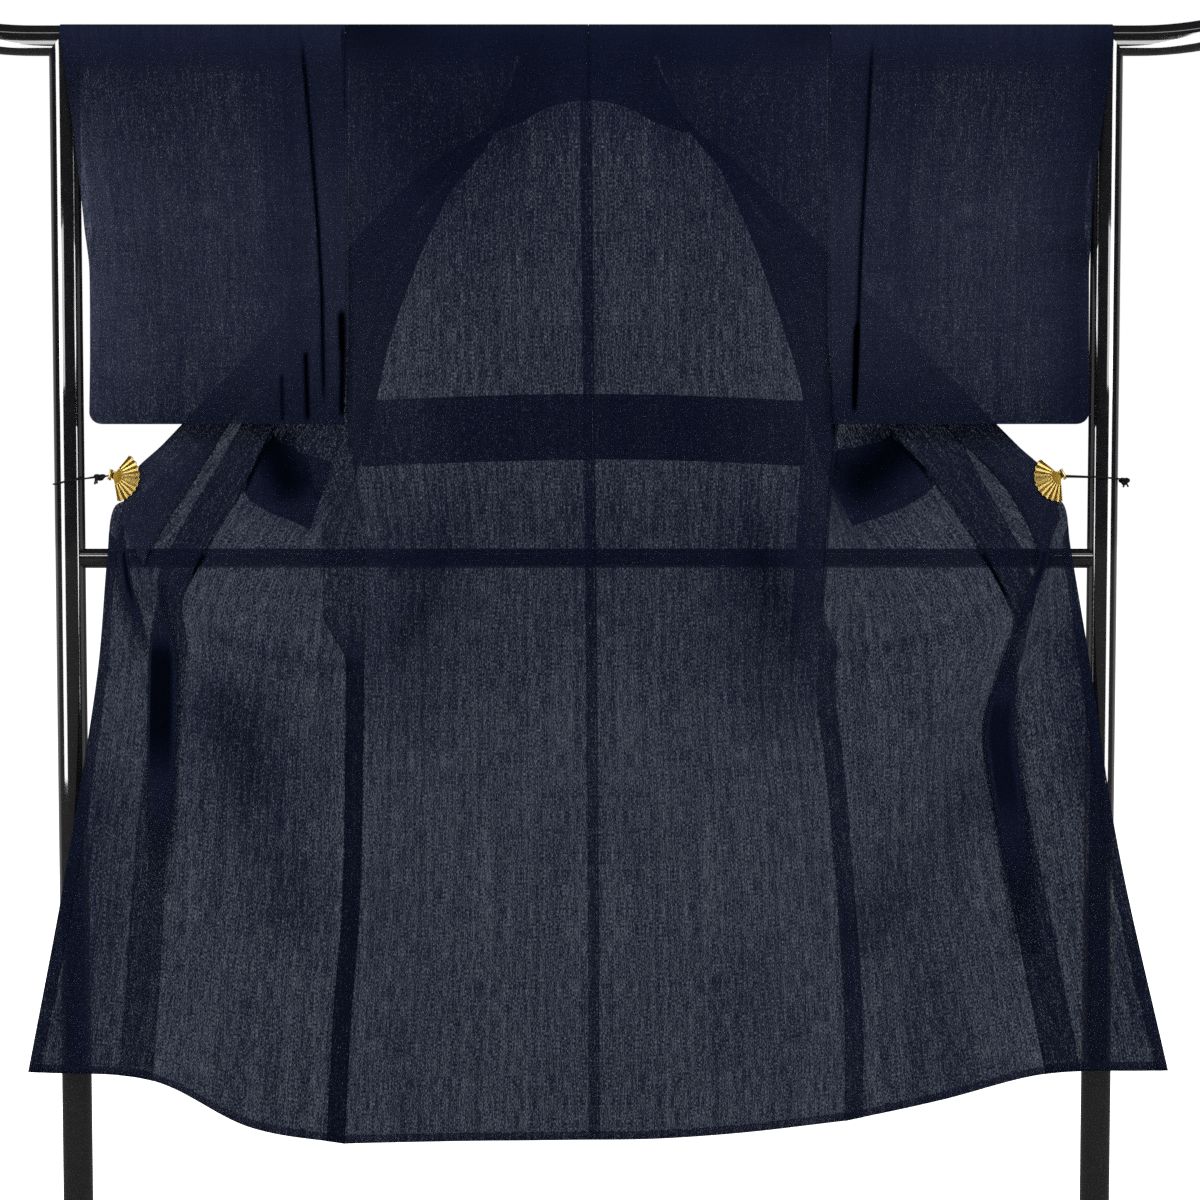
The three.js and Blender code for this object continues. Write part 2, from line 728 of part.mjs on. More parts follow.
function socket(sign) {
  const inner = tubeRadius + seatGap;
  const outer = inner + socketWall;
  const low = footTop + seatGap;
  const profile = [[inner, low], [outer, low], [outer, low + socketHeight - 2],
    [outer - 2, low + socketHeight], [inner, low + socketHeight], [inner, low]];
  return new THREE.LatheGeometry(profile.map(([r, h]) => new THREE.Vector2(r, h)), tubeSides)
    .rotateX(Math.PI / 2).translate(sign * postX, 0, 0);
}

function pad(sign, end) {
  return new THREE.CylinderGeometry(padRadius, padRadius, padHeight - seatGap, 20).rotateX(Math.PI / 2)
    .translate(sign * postX, end * (footLength / 2 - padInset), (padHeight - seatGap) / 2);
}

// ---- clips and ties ----
const fanSteps = 12;
const hubSteps = 8;

// A flat piece cut as an open fan with a round hub, its faces square to Y.
function fanPlate(half, radius, thickness, y) {
  const from = THREE.MathUtils.degToRad(half.clip.from);
  const to = THREE.MathUtils.degToRad(half.clip.to);
  const outline = [];
  for (let i = 0; i <= fanSteps; i += 1) outline.push([radius, mix(from, to, i / fanSteps)]);
  for (let i = 0; i <= hubSteps; i += 1) outline.push([hubRadius, mix(to, from + 2 * Math.PI, i / hubSteps)]);
  const shape = new THREE.Shape(outline.map(([reach, angle]) => new THREE.Vector2(
    reach * Math.cos(angle), reach * Math.sin(angle))));
  return new THREE.ExtrudeGeometry(shape, { depth: thickness, bevelEnabled: false })
    .rotateX(Math.PI / 2).translate(half.clip.x, y + thickness, half.clip.z);
}

// The hinge pin between the two hubs, just outside the collar's end.
function hinge(half) {
  const low = fanY + fanThickness + seatGap;
  const high = jawY - seatGap;
  return new THREE.CylinderGeometry(hingeRadius, hingeRadius, high - low, 16)
    .translate(half.clip.x, (low + high) / 2, half.clip.z);
}

// The cord runs from the hinge pin round the post and back to its knot.
function tie(half) {
  const { farZ, from, to, endX, endY, knotX, knotY, knotZ } = half.tie;
  const { x, z } = half.clip;
  const reach = tubeRadius + cordRadius + seatGap;
  const start = new THREE.Vector3(x + half.sign * (hingeRadius + seatGap), tieY, z);
  const points = [start];
  for (let i = 0; i <= tieSteps; i += 1) {
    const degrees = mix(from, to, i / tieSteps);
    const turn = THREE.MathUtils.degToRad(degrees);
    const far = 1 - Math.abs(degrees - 180) / 180;
    points.push(new THREE.Vector3(half.sign * (postX - reach * Math.cos(turn)), -reach * Math.sin(turn),
      mix(z, farZ, Math.min(far * 1.4, 1))));
  }
  points.push(new THREE.Vector3(endX, endY, z - 1.5));
  const path = new THREE.CatmullRomCurve3(points, false, 'centripetal');
  const steps = 3 * tieSteps;
  const frames = path.computeFrenetFrames(steps);
  const rings = frames.normals.map((normal, i) => {
    const middle = path.getPointAt(i / steps);
    return [...Array(cordSides).keys()].map((k) => {
      const turn = -k * 2 * Math.PI / cordSides;
      return middle.clone().addScaledVector(normal, cordRadius * Math.cos(turn))
        .addScaledVector(frames.binormals[i], cordRadius * Math.sin(turn));
    });
  });
  const knot = new THREE.SphereGeometry(knotRadius, 10, 7).translate(knotX, knotY, knotZ);
  return skin(solid(loft(rings)).add(solid(knot)));
}

for (const [name, half] of Object.entries(halves)) {
  add(`post_${name}`, post(half.sign), 'gloss');
  add(`end_cap_${name}`, endCap(half.sign), 'gloss');
  add(`foot_${name}`, foot(half.sign), 'gloss');
  add(`socket_${name}`, socket(half.sign), 'gloss');
  add(`pad_${name}_front`, pad(half.sign, 1), 'rubber');
  add(`pad_${name}_back`, pad(half.sign, -1), 'rubber');
}
add('top_bar', topBar(), 'gloss');
add('cross_bar', crossBar(), 'gloss');

for (const [name, half] of Object.entries(halves)) {
  add(`clip_fan_${name}`, fanPlate(half, fanRadius, fanThickness, fanY), 'gold');
  add(`clip_jaw_${name}`, fanPlate(half, jawRadius, jawThickness, jawY), 'gold');
  add(`clip_pin_${name}`, hinge(half), 'gold');
  add(`tie_${name}`, tie(half), 'cord');
  add(`body_${name}`, bodyPanel(half), 'cloth');
  add(`okumi_${name}`, wall(okumiGrid(half), clothThickness), 'cloth');
  add(`sleeve_${name}`, wall(sleeveGrid(half), clothThickness, { wrap: true }), 'cloth');
  add(`back_tuck_${name}`, backTuck(half), 'cloth');
  add(`front_tuck_${name}`, frontTuck(half), 'cloth');
}
add('collar', wall(collarGrid(), doubledThickness), 'collar');

export default garment;
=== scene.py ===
import math

import bpy
import numpy as np
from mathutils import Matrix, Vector


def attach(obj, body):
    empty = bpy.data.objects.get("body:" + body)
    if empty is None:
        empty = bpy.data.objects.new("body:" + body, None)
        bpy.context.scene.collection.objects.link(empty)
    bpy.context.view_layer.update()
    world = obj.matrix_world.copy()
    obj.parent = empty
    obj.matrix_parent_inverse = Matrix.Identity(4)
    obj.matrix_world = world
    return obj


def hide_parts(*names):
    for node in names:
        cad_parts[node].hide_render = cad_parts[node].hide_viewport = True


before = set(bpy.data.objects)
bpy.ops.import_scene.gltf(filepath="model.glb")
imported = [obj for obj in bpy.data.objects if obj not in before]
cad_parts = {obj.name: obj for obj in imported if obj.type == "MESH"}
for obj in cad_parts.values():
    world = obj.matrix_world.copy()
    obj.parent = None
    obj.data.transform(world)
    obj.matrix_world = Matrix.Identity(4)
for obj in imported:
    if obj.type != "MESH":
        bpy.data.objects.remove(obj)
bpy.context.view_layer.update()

print("frame loaded")


class Wire:
    # a socket, or a number, that takes part in expressions
    def __init__(self, finish, socket, node=None):
        self.finish = finish
        self.socket = socket
        self.node = node

    def math(self, operation, *others):
        values = dict(enumerate((self,) + others))
        return self.finish.add("ShaderNodeMath", {"operation": operation}, values)

    def __getitem__(self, name):
        return Wire(self.finish, self.node.outputs[name], self.node)

    def __add__(self, other): return self.math("ADD", other)
    def __radd__(self, other): return self.math("ADD", other)
    def __sub__(self, other): return self.math("SUBTRACT", other)
    def __rsub__(self, other): return (self * -1).math("ADD", other)
    def __mul__(self, other): return self.math("MULTIPLY", other)

    def clamp(self): return self.math("MAXIMUM", 0.0).math("MINIMUM", 1.0)

    def ramp(self, low, high):
        values = {"Value": self, "From Min": low, "From Max": high}
        return self.finish.add("ShaderNodeMapRange", {"interpolation_type": "SMOOTHSTEP"}, values)


class Finish:
    # a material, or any other node tree, built one node at a time
    def __init__(self, name, tree=None):
        if tree is None:
            self.material = bpy.data.materials.new(name)
            self.material.use_nodes = True
            tree = self.material.node_tree
        self.tree = tree
        tree.nodes.clear()

    def add(self, kind, settings=None, values=None):
        node = self.tree.nodes.new(kind)
        for key, value in (settings or {}).items():
            setattr(node, key, value)
        for key, value in (values or {}).items():
            if isinstance(value, Wire):
                self.tree.links.new(value.socket, node.inputs[key])
            else:
                node.inputs[key].default_value = value
        return Wire(self, node.outputs[0] if node.outputs else None, node)

    def mixColour(self, factor, first, second, blend="MIX"):
        mixed = self.add("ShaderNodeMix", {"data_type": "RGBA", "blend_type": blend},
                         {0: factor, 6: first, 7: second})
        return Wire(self, mixed.node.outputs[2], mixed.node)

    def stretched(self, source, scale):
        return self.add("ShaderNodeMapping", {}, {"Vector": source, "Scale": scale})

    def noise(self, source, scale, detail=2.0):
        values = {"Vector": source, "Scale": scale, "Detail": detail}
        return self.add("ShaderNodeTexNoise", {}, values)["Fac"]

    def mark(self, name):
        return self.add("ShaderNodeAttribute", {"attribute_name": name})["Fac"]

    def bump(self, height, strength, distance):
        values = {"Height": height, "Strength": strength, "Distance": distance}
        return self.add("ShaderNodeBump", {}, values)

    def emission(self, shade, strength=1.0):
        return self.add("ShaderNodeEmission", {}, {"Color": shade, "Strength": strength})

    def mixShader(self, factor, first, second):
        return self.add("ShaderNodeMixShader", {}, {0: factor, 1: first, 2: second})

    def close(self, shader, output="ShaderNodeOutputMaterial"):
        self.add(output, {}, {"Surface": shader})
        return getattr(self, "material", None)

    def surface(self, values):
        return self.close(self.add("ShaderNodeBsdfPrincipled", {}, values))


def colour(red, green, blue):
    return (red, green, blue, 1.0)


view = {
    "place": (0.018, -2.480, 1.019),
    "pitch": 2.54,  # degrees downwards
    "lens": 57.0,
    "veil": (0.101, 0.115, 0.144),  # painted shade: the dim colour that the floor and the world show through the cloth instead of white
    "fill": 0.22,
    "dim": 0.010,  # what gloss sees beyond the lamps
    "floorDim": 0.10,  # what gloss sees of the floor
    "floorHalf": 60.0,
}
lamps = [
    # name, place, aim, width, height, watts, and whether it lights cloth or shows in gloss
    ("left strip", (-2.5, -1.5, 1.5), (-0.6, 0.0, 1.0), 0.30, 2.2, 60.0, "cloth"),
    ("right strip", (2.5, -1.5, 1.5), (0.6, 0.0, 1.0), 0.30, 2.2, 60.0, "cloth"),
    ("overhead", (0.0, -1.6, 3.4), (0.0, 0.0, 1.1), 3.0, 1.4, 150.0, "cloth"),
    ("back left", (-2.0, 2.4, 2.2), (0.0, 0.0, 1.0), 1.2, 1.8, 40.0, "cloth"),
    ("back right", (2.0, 2.4, 2.2), (0.0, 0.0, 1.0), 1.2, 1.8, 40.0, "cloth"),
    ("left post strip", (-1.02, -0.42, 1.20), (-0.67, 0.0, 1.20), 0.25, 1.2, 8.0, "gloss"),
    ("right post strip", (1.02, -0.42, 1.20), (0.67, 0.0, 1.20), 0.25, 1.2, 8.0, "gloss"),
    ("left bar strip", (-1.05, -0.55, 1.35), (-1.05, 0.0, 1.631), 0.6, 0.30, 2.6, "gloss"),
    ("right bar strip", (1.05, -0.55, 1.35), (1.05, 0.0, 1.631), 0.6, 0.30, 2.6, "gloss"),
    ("bar line", (0.0, -1.6, 3.4), (0.0, 0.0, 1.631), 5.0, 0.25, 8.0, "gloss"),
    ("left edge", (-2.2, 0.9, 1.0), (-0.67, 0.0, 1.0), 1.6, 3.0, 3.6, "gloss"),
    ("right edge", (2.2, 0.9, 1.0), (0.67, 0.0, 1.0), 1.6, 3.0, 3.6, "gloss"),
]


def throughCloth(tree):
    path = tree.add("ShaderNodeLightPath")
    return path["Transparent Depth"].math("GREATER_THAN", 0.5)


def makeCamera():
    camera = bpy.data.objects.new("camera", bpy.data.cameras.new("camera"))
    camera.location = view["place"]
    camera.rotation_euler = (math.radians(90 - view["pitch"]), 0, 0)
    camera.data.lens = view["lens"]
    camera.data.sensor_width = 36.0
    camera.data.clip_end = 200.0
    bpy.context.collection.objects.link(camera)
    bpy.context.scene.camera = camera


def makeLamps():
    for name, place, aim, width, height, watts, lit in lamps:
        lamp = bpy.data.lights.new(name, "AREA")
        lamp.shape = "RECTANGLE"
        lamp.size = width
        lamp.size_y = height
        lamp.energy = watts
        holder = bpy.data.objects.new(name, lamp)
        holder.location = place
        direction = Vector(aim) - Vector(place)
        holder.rotation_euler = direction.to_track_quat("-Z", "Y").to_euler()
        holder.visible_camera = False
        holder.visible_diffuse = lit != "gloss"
        holder.visible_glossy = lit != "cloth"
        bpy.context.collection.objects.link(holder)


def makeFloor():
    half = view["floorHalf"]
    mesh = bpy.data.meshes.new("floor")
    mesh.from_pydata([(-half, -half, 0), (half, -half, 0), (half, half, 0), (-half, half, 0)], [],
                     [(0, 1, 2, 3)])
    floor = bpy.data.objects.new("floor", mesh)
    bpy.context.collection.objects.link(floor)
    look = Finish("pale floor")
    path = look.add("ShaderNodeLightPath")
    matt = look.add("ShaderNodeBsdfDiffuse", {}, {"Color": colour(0.86, 0.86, 0.86)})
    glow = look.emission(colour(1, 1, 1))
    lit = look.add("ShaderNodeAddShader", {}, {0: matt, 1: glow})
    # painted shade: seen through the cloth, the floor glows a dim colour instead of white
    seen = look.mixShader(throughCloth(look), lit, look.emission(colour(*view["veil"])))
    dusk = look.emission(colour(1, 1, 1), view["floorDim"])
    unseen = look.mixShader(path["Is Glossy Ray"], matt, dusk)
    mesh.materials.append(look.close(look.mixShader(path["Is Camera Ray"], unseen, seen)))


def makeWorld():
    world = bpy.data.worlds.new("studio")
    bpy.context.scene.world = world
    world.use_nodes = True
    look = Finish("studio", world.node_tree)
    path = look.add("ShaderNodeLightPath")
    fill, dim = view["fill"], view["dim"]
    # painted shade: seen through the cloth, the world shows a dim colour instead of white
    seen = look.mixColour(throughCloth(look), colour(1, 1, 1), colour(*view["veil"]))
    unseen = look.mixColour(path["Is Glossy Ray"], colour(fill, fill, fill), colour(dim, dim, dim))
    shown = look.mixColour(path["Is Camera Ray"], unseen, seen)
    glow = look.add("ShaderNodeBackground", {}, {"Color": shown, "Strength": 1.0})
    look.close(glow, "ShaderNodeOutputWorld")


makeCamera()
makeFloor()
makeLamps()
makeWorld()
bpy.context.scene.view_settings.view_transform = "Standard"
tracing = bpy.context.scene.cycles
tracing.transparent_max_bounces = 40
tracing.use_denoising = False  # it would wipe out the weave
tracing.sample_clamp_direct = 2.0
tracing.sample_clamp_indirect = 2.0
tracing.caustics_reflective = False
tracing.caustics_refractive = False
print("camera, floor and lights ready")


# side, cuff and sleeveFold: height, x
# turn, seam, edge and rim: distance down the cloth from the shoulder, x, height, y
# frontTuck: distance down, place across the front
halves = {
    "left": {
        "sign": -1,
        "side": [(1.652, -0.308), (1.225, -0.308), (1.145, -0.309), (1.062, -0.297),
                 (0.980, -0.287), (0.780, -0.288), (0.507, -0.294), (0.375, -0.305),
                 (0.200, -0.315)],
        "turn": [(0.032, -0.190, 1.631, 0.020), (0.120, -0.122, 1.529, 0.024),
                 (0.240, -0.190, 1.425, 0.021), (0.400, -0.251, 1.263, 0.010),
                 (0.518, -0.275, 1.158, -0.005), (0.590, -0.296, 1.080, -0.016),
                 (0.720, -0.372, 0.963, -0.021), (0.870, -0.402, 0.815, -0.025),
                 (1.170, -0.418, 0.520, -0.029), (1.463, -0.440, 0.222, -0.034)],
        "seam": [(0.032, -0.088, 1.631, 0.020), (0.120, -0.112, 1.541, 0.028),
                 (0.260, -0.182, 1.455, 0.027), (0.400, -0.285, 1.308, 0.015),
                 (0.555, -0.403, 1.132, -0.008), (0.640, -0.442, 1.056, -0.014),
                 (0.805, -0.521, 0.914, -0.020), (0.870, -0.517, 0.848, -0.022),
                 (1.100, -0.541, 0.624, -0.028), (1.330, -0.556, 0.400, -0.031),
                 (1.463, -0.565, 0.283, -0.034)],
        "edge": [(0.260, -0.188, 1.458, 0.027), (0.400, -0.300, 1.325, 0.016),
                 (0.555, -0.409, 1.208, 0.004), (0.700, -0.506, 1.100, -0.006),
                 (0.780, -0.586, 1.044, -0.008), (0.810, -0.613, 1.030, -0.009),
                 (0.870, -0.620, 0.972, -0.017), (1.010, -0.634, 0.810, -0.024),
                 (1.215, -0.675, 0.560, -0.031), (1.463, -0.727, 0.295, -0.034)],
        "rim": [(0.080, -0.116, 1.522, 0.035), (0.120, -0.140, 1.517, 0.037),
                (0.260, -0.228, 1.457, 0.031), (0.400, -0.336, 1.341, 0.020),
                (0.555, -0.440, 1.229, 0.008), (0.700, -0.548, 1.113, -0.007),
                (0.760, -0.590, 1.070, -0.012), (0.825, -0.604, 1.010, -0.015)],
        "cuff": [(1.652, -0.676), (1.532, -0.660), (1.444, -0.650), (1.367, -0.643),
                 (1.240, -0.640), (1.137, -0.640)],
        "hem": (0.200, 0.205),
        "middleAllowance": (-0.0012, 0.0118),
        "sleeveFold": [(1.137, -0.332), (1.280, -0.334), (1.384, -0.341), (1.490, -0.349),
                       (1.625, -0.362)],
        "backTuck": {"side": -0.290, "top": 1.167, "bottom": 1.082},
        # the deep pleat that falls from the clip: height, left and right edge
        "pleat": [(0.930, -0.554, -0.546), (0.890, -0.559, -0.539), (0.855, -0.565, -0.529),
                  (0.810, -0.568, -0.525), (0.700, -0.570, -0.527), (0.530, -0.568, -0.534)],
        "crease": [(1.020, -0.612, -0.603), (0.980, -0.616, -0.597), (0.930, -0.612, -0.587),
                   (0.880, -0.602, -0.572), (0.830, -0.586, -0.562)],
        # painted shade on the pleat and the crease where they are full
        "pleatDark": 1.25,
        "pleatEdges": (0.12, 0.30),
        "creaseEdges": (0.9, 0.15),
        "frontTuck": {"fold": [(0.585, 1.38), (0.680, 1.06)], "seam": [(0.560, 2.0), (0.645, 2.0)]},
        # distance down, width of the okumi's seam allowance
        "allowance": [(0.500, 0.075), (0.600, 0.069), (0.700, 0.056), (0.760, 0.047),
                      (0.950, 0.044)],
        # painted shade on the okumi allowance, from its top to lower down; below 0 the weave opens
        # instead
        "allowanceDark": (0.12, -0.45),
        "tailStart": 0.600,
        # painted shade on the side allowance, above and below the waist; below 0 the weave opens
        # instead
        "sideDark": (-0.60, 0.80),
        "wideSide": "front",
        "thickSeams": [(0.555, 0.650), (0.735, 0.780)],
    },
    "right": {
        "sign": 1,
        "side": [(1.652, 0.313), (1.225, 0.314), (1.145, 0.322), (1.062, 0.315), (0.980, 0.310),
                 (0.838, 0.301), (0.780, 0.300), (0.650, 0.315), (0.390, 0.335), (0.230, 0.338)],
        "turn": [(0.032, 0.195, 1.631, 0.020), (0.120, 0.136, 1.531, 0.024),
                 (0.210, 0.168, 1.484, 0.022), (0.310, 0.219, 1.372, 0.017),
                 (0.440, 0.271, 1.218, 0.005), (0.518, 0.284, 1.163, -0.005),
                 (0.590, 0.308, 1.080, -0.016), (0.720, 0.386, 0.955, -0.021),
                 (0.870, 0.424, 0.822, -0.025), (1.170, 0.425, 0.540, -0.029),
                 (1.463, 0.464, 0.258, -0.034)],
        "seam": [(0.032, 0.088, 1.631, 0.020), (0.120, 0.124, 1.541, 0.028),
                 (0.260, 0.205, 1.438, 0.027), (0.400, 0.292, 1.308, 0.015),
                 (0.555, 0.394, 1.129, -0.008), (0.640, 0.446, 1.068, -0.014),
                 (0.825, 0.551, 0.897, -0.020), (0.900, 0.536, 0.820, -0.023),
                 (0.985, 0.513, 0.745, -0.026), (1.110, 0.532, 0.624, -0.028),
                 (1.463, 0.598, 0.292, -0.034)],
        "edge": [(0.260, 0.211, 1.441, 0.027), (0.400, 0.306, 1.322, 0.016),
                 (0.555, 0.407, 1.203, 0.004), (0.700, 0.512, 1.093, -0.006),
                 (0.780, 0.596, 1.046, -0.008), (0.810, 0.620, 1.034, -0.009),
                 (0.870, 0.627, 0.982, -0.017), (1.010, 0.653, 0.826, -0.024),
                 (1.215, 0.690, 0.590, -0.031), (1.463, 0.758, 0.297, -0.034)],
        "rim": [(0.080, 0.122, 1.522, 0.035), (0.120, 0.152, 1.517, 0.037),
                (0.260, 0.248, 1.432, 0.031), (0.400, 0.344, 1.333, 0.020),
                (0.555, 0.448, 1.226, 0.008), (0.700, 0.560, 1.110, -0.007),
                (0.760, 0.600, 1.070, -0.012), (0.825, 0.614, 1.016, -0.015)],
        "cuff": [(1.652, 0.677), (1.556, 0.667), (1.425, 0.651), (1.338, 0.650),
                 (1.152, 0.648), (1.137, 0.648)],
        "hem": (0.230, 0.205),
        "middleAllowance": (0.0006, 0.0030),
        "sleeveFold": [(1.137, 0.343), (1.380, 0.352), (1.625, 0.366)],
        "backTuck": {"side": 0.283, "top": 1.167, "bottom": 1.083},
        "pleat": [(0.860, 0.543, 0.556), (0.800, 0.526, 0.562), (0.745, 0.513, 0.562),
                  (0.690, 0.518, 0.568), (0.620, 0.530, 0.576), (0.450, 0.552, 0.592)],
        "crease": [(1.036, 0.598, 0.605), (0.963, 0.584, 0.600), (0.914, 0.567, 0.581),
                   (0.875, 0.554, 0.566), (0.840, 0.548, 0.556)],
        "pleatDark": 0.95,
        "pleatEdges": (0.2, 0.3),
        "creaseEdges": (0.35, 0.35),
        "frontTuck": {"fold": [(0.575, 1.0), (0.665, 0.8)], "seam": [(0.558, 2.0), (0.650, 2.0)]},
        "allowance": [(0.500, 0.100), (0.625, 0.098), (0.700, 0.068), (0.780, 0.050),
                      (0.950, 0.046)],
        "allowanceDark": (0.08, 0.05),
        "tailStart": 0.690,
        "sideDark": (0.0, 0.25),
        "wideSide": "back",
        "thickSeams": [(0.555, 0.645), (0.735, 0.820)],
    },
}
middleLine = [(1.652, 0.003), (1.168, 0.008), (0.650, 0.013), (0.205, 0.015)]
# behind the neck: share from right to left, sewn x and height, free x, height and y
neckLine = [(0.0, 0.084, 1.622, 0.092, 1.532, 0.031), (0.25, 0.046, 1.622, 0.050, 1.552, 0.024),
            (0.5, 0.002, 1.622, 0.003, 1.560, 0.023), (0.75, -0.042, 1.622, -0.046, 1.552, 0.024),
            (1.0, -0.084, 1.622, -0.088, 1.532, 0.031)]

cloth = {
    "barHeight": 1.631,
    "foldRadius": 0.0202,
    "length": 1.463,
    "neckHalfWidth": 0.088,
    "neckDrop": 0.040,
    "okumiTip": 0.260,
    "armholeBottom": 1.225,
    "sideTop": 1.145,
    "hemY": -0.034,
    "seamGap": 0.0005,
    "thickness": 0.0003,
    "layerGap": 0.0012,
    "panelWidth": 0.34,
    "okumiWidth": 0.15,
    "fine": 0.0055,  # row spacing of the panels
    "shut": (1.585, 1.636, 0.92),  # the weave closes between these heights, by this much
    "barShade": (1.590, 1.650, 0.30),
    "gone": -1.6,  # a tone at which nothing of the cloth is left
}
quarterFold = cloth["foldRadius"] * math.pi / 2


def along(rows, at, column):
    # one column of a table, read off a smooth curve through its rows
    rows = sorted(rows)
    keys = [row[0] for row in rows]
    if at <= keys[0]:
        return rows[0][column]
    if at >= keys[-1]:
        return rows[-1][column]
    i = next(n for n in range(len(keys) - 1) if keys[n + 1] >= at)

    def slope(a, b):
        return (rows[b][column] - rows[a][column]) / (keys[b] - keys[a])

    step = keys[i + 1] - keys[i]
    t = (at - keys[i]) / step
    before = slope(max(i - 1, 0), i + 1) * step
    after = slope(i, min(i + 2, len(rows) - 1)) * step
    start, end = rows[i][column], rows[i + 1][column]
    return (start * (2 * t**3 - 3 * t**2 + 1) + before * (t**3 - 2 * t**2 + t)
            + end * (3 * t**2 - 2 * t**3) + after * (t**3 - t**2))


def placeAlong(rows, down):
    return np.array([along(rows, down, 1), along(rows, down, 3), along(rows, down, 2)])


def ease(low, high, value):
    s = np.clip((value - low) / (high - low), 0, 1)
    return s * s * (3 - 2 * s)


def backY(z):
    radius = cloth["foldRadius"]
    return -radius + (cloth["hemY"] + radius) * ease(0, 0.9, cloth["sideTop"] - z)


def backRow(half, down, shares):
    # places across the back, 0 at the side seam and 1 at the middle
    radius, bar = cloth["foldRadius"], cloth["barHeight"]
    if down < quarterFold:
        angle = down / radius
        z = bar + radius * math.cos(angle)
        y = -radius * math.sin(angle)
        heights = np.full(len(shares), z)
    else:
        side, middle = half["hem"]
        hem = side + (middle - side) * np.sin(shares * math.pi / 2)
        heights = bar + (hem - bar) * (down - quarterFold) / (cloth["length"] - quarterFold)
        y = None
    sides = np.array([along(half["side"], z, 1) for z in heights])
    middles = np.array([along(middleLine, z, 1) for z in heights])
    xs = sides + (middles - sides) * shares
    ys = np.full(len(shares), y) if y is not None else np.array([backY(z) for z in heights])
    return np.stack([xs, ys, heights], axis=1)


def frontRow(half, down, acrosses):
    # places across the front: 0 side seam, 1 slack fold, 2 okumi seam, 3 okumi edge
    acrosses = np.atleast_1d(acrosses)
    side = backRow(half, down, np.zeros(1))[0]
    if side[2] > cloth["sideTop"]:
        fall = min((cloth["barHeight"] - side[2]) / (cloth["barHeight"] - cloth["sideTop"]), 1)
        side[1] = cloth["foldRadius"] + (backY(cloth["sideTop"]) - cloth["foldRadius"]) * fall
    turn, seam = placeAlong(half["turn"], down), placeAlong(half["seam"], down)
    edge = seam - (turn - seam) * 0.3
    if down > cloth["okumiTip"]:
        edge = placeAlong(half["edge"], down)
    return bend([side, turn, seam, edge], acrosses / 3)


def bend(knots, shares):
    # a centripetal curve through the knots
    knots = [2 * knots[0] - knots[1]] + list(knots) + [2 * knots[-1] - knots[-2]]
    spans = len(knots) - 3
    out = np.empty((len(shares), 3))
    for n, share in enumerate(shares):
        at = min(max(share, 0), 1) * spans
        i = min(int(at), spans - 1)
        t = at - i
        a, b, c, d = knots[i:i + 4]
        da, db, dc = (max(np.linalg.norm(q - p), 1e-7) ** 0.5 for p, q in ((a, b), (b, c), (c, d)))
        first = ((b - a) / da - (c - a) / (da + db) + (c - b) / db) * db
        last = ((c - b) / db - (d - b) / (db + dc) + (d - c) / dc) * db
        out[n] = (b + first * t + (-3 * b + 3 * c - 2 * first - last) * t * t
                  + (2 * b - 2 * c + first + last) * t**3)
    return out


# what it marks, its line of (x, height), half width, depth towards the viewer, and how dark the
# painted shade beside it is; a fold with no depth is only painted shade
folds = [
    ("sleeve", [(-0.366, 1.645), (-0.362, 1.600), (-0.354, 1.512), (-0.346, 1.407), (-0.340, 1.303),
                (-0.338, 1.137)], 0.0028, 0.0030, 1.3),
    ("sleeve", [(-0.393, 1.205), (-0.392, 1.137)], 0.0030, 0.0020, 0.8),
    ("sleeve", [(-0.362, 1.235), (-0.359, 1.137)], 0.0032, 0.0020, 1.1),
    ("sleeve", [(0.366, 1.645), (0.352, 1.380), (0.343, 1.137)], 0.0035, 0.0030, 1.3),
    ("sleeve", [(-0.3160, 1.290), (-0.3150, 1.225), (-0.3165, 1.137)], 0.0050, 0.0005, 1.5),
    ("sleeve", [(-0.3120, 1.650), (-0.3100, 1.530)], 0.0022, 0.0, 1.0),
    ("sleeve", [(0.3450, 1.270), (0.3430, 1.145)], 0.0045, 0.0010, 1.1),
    ("back", [(0.3180, 1.205), (0.3180, 1.115)], 0.0045, 0.0, 1.2),
    ("back", [(-0.169, 1.082), (-0.204, 0.914), (-0.263, 0.845), (-0.293, 0.816)],
     0.0170, 0.0030, 0.18),
    ("back", [(0.187, 1.092), (0.222, 0.954), (0.281, 0.825), (0.341, 0.696)],
     0.0170, 0.0030, 0.18),
    ("front", [(-0.505, 0.872), (-0.432, 0.845), (-0.396, 0.834), (-0.351, 0.822), (-0.290, 0.822)],
     0.0080, 0.0030, 0.35),
    ("front", [(0.307, 0.832), (0.400, 0.848), (0.458, 0.862), (0.535, 0.897)],
     0.0080, 0.0030, 0.25),
    ("okumi", [(-0.498, 0.640), (-0.434, 0.524), (-0.396, 0.446)], 0.0140, 0.0030, 0.3),
]
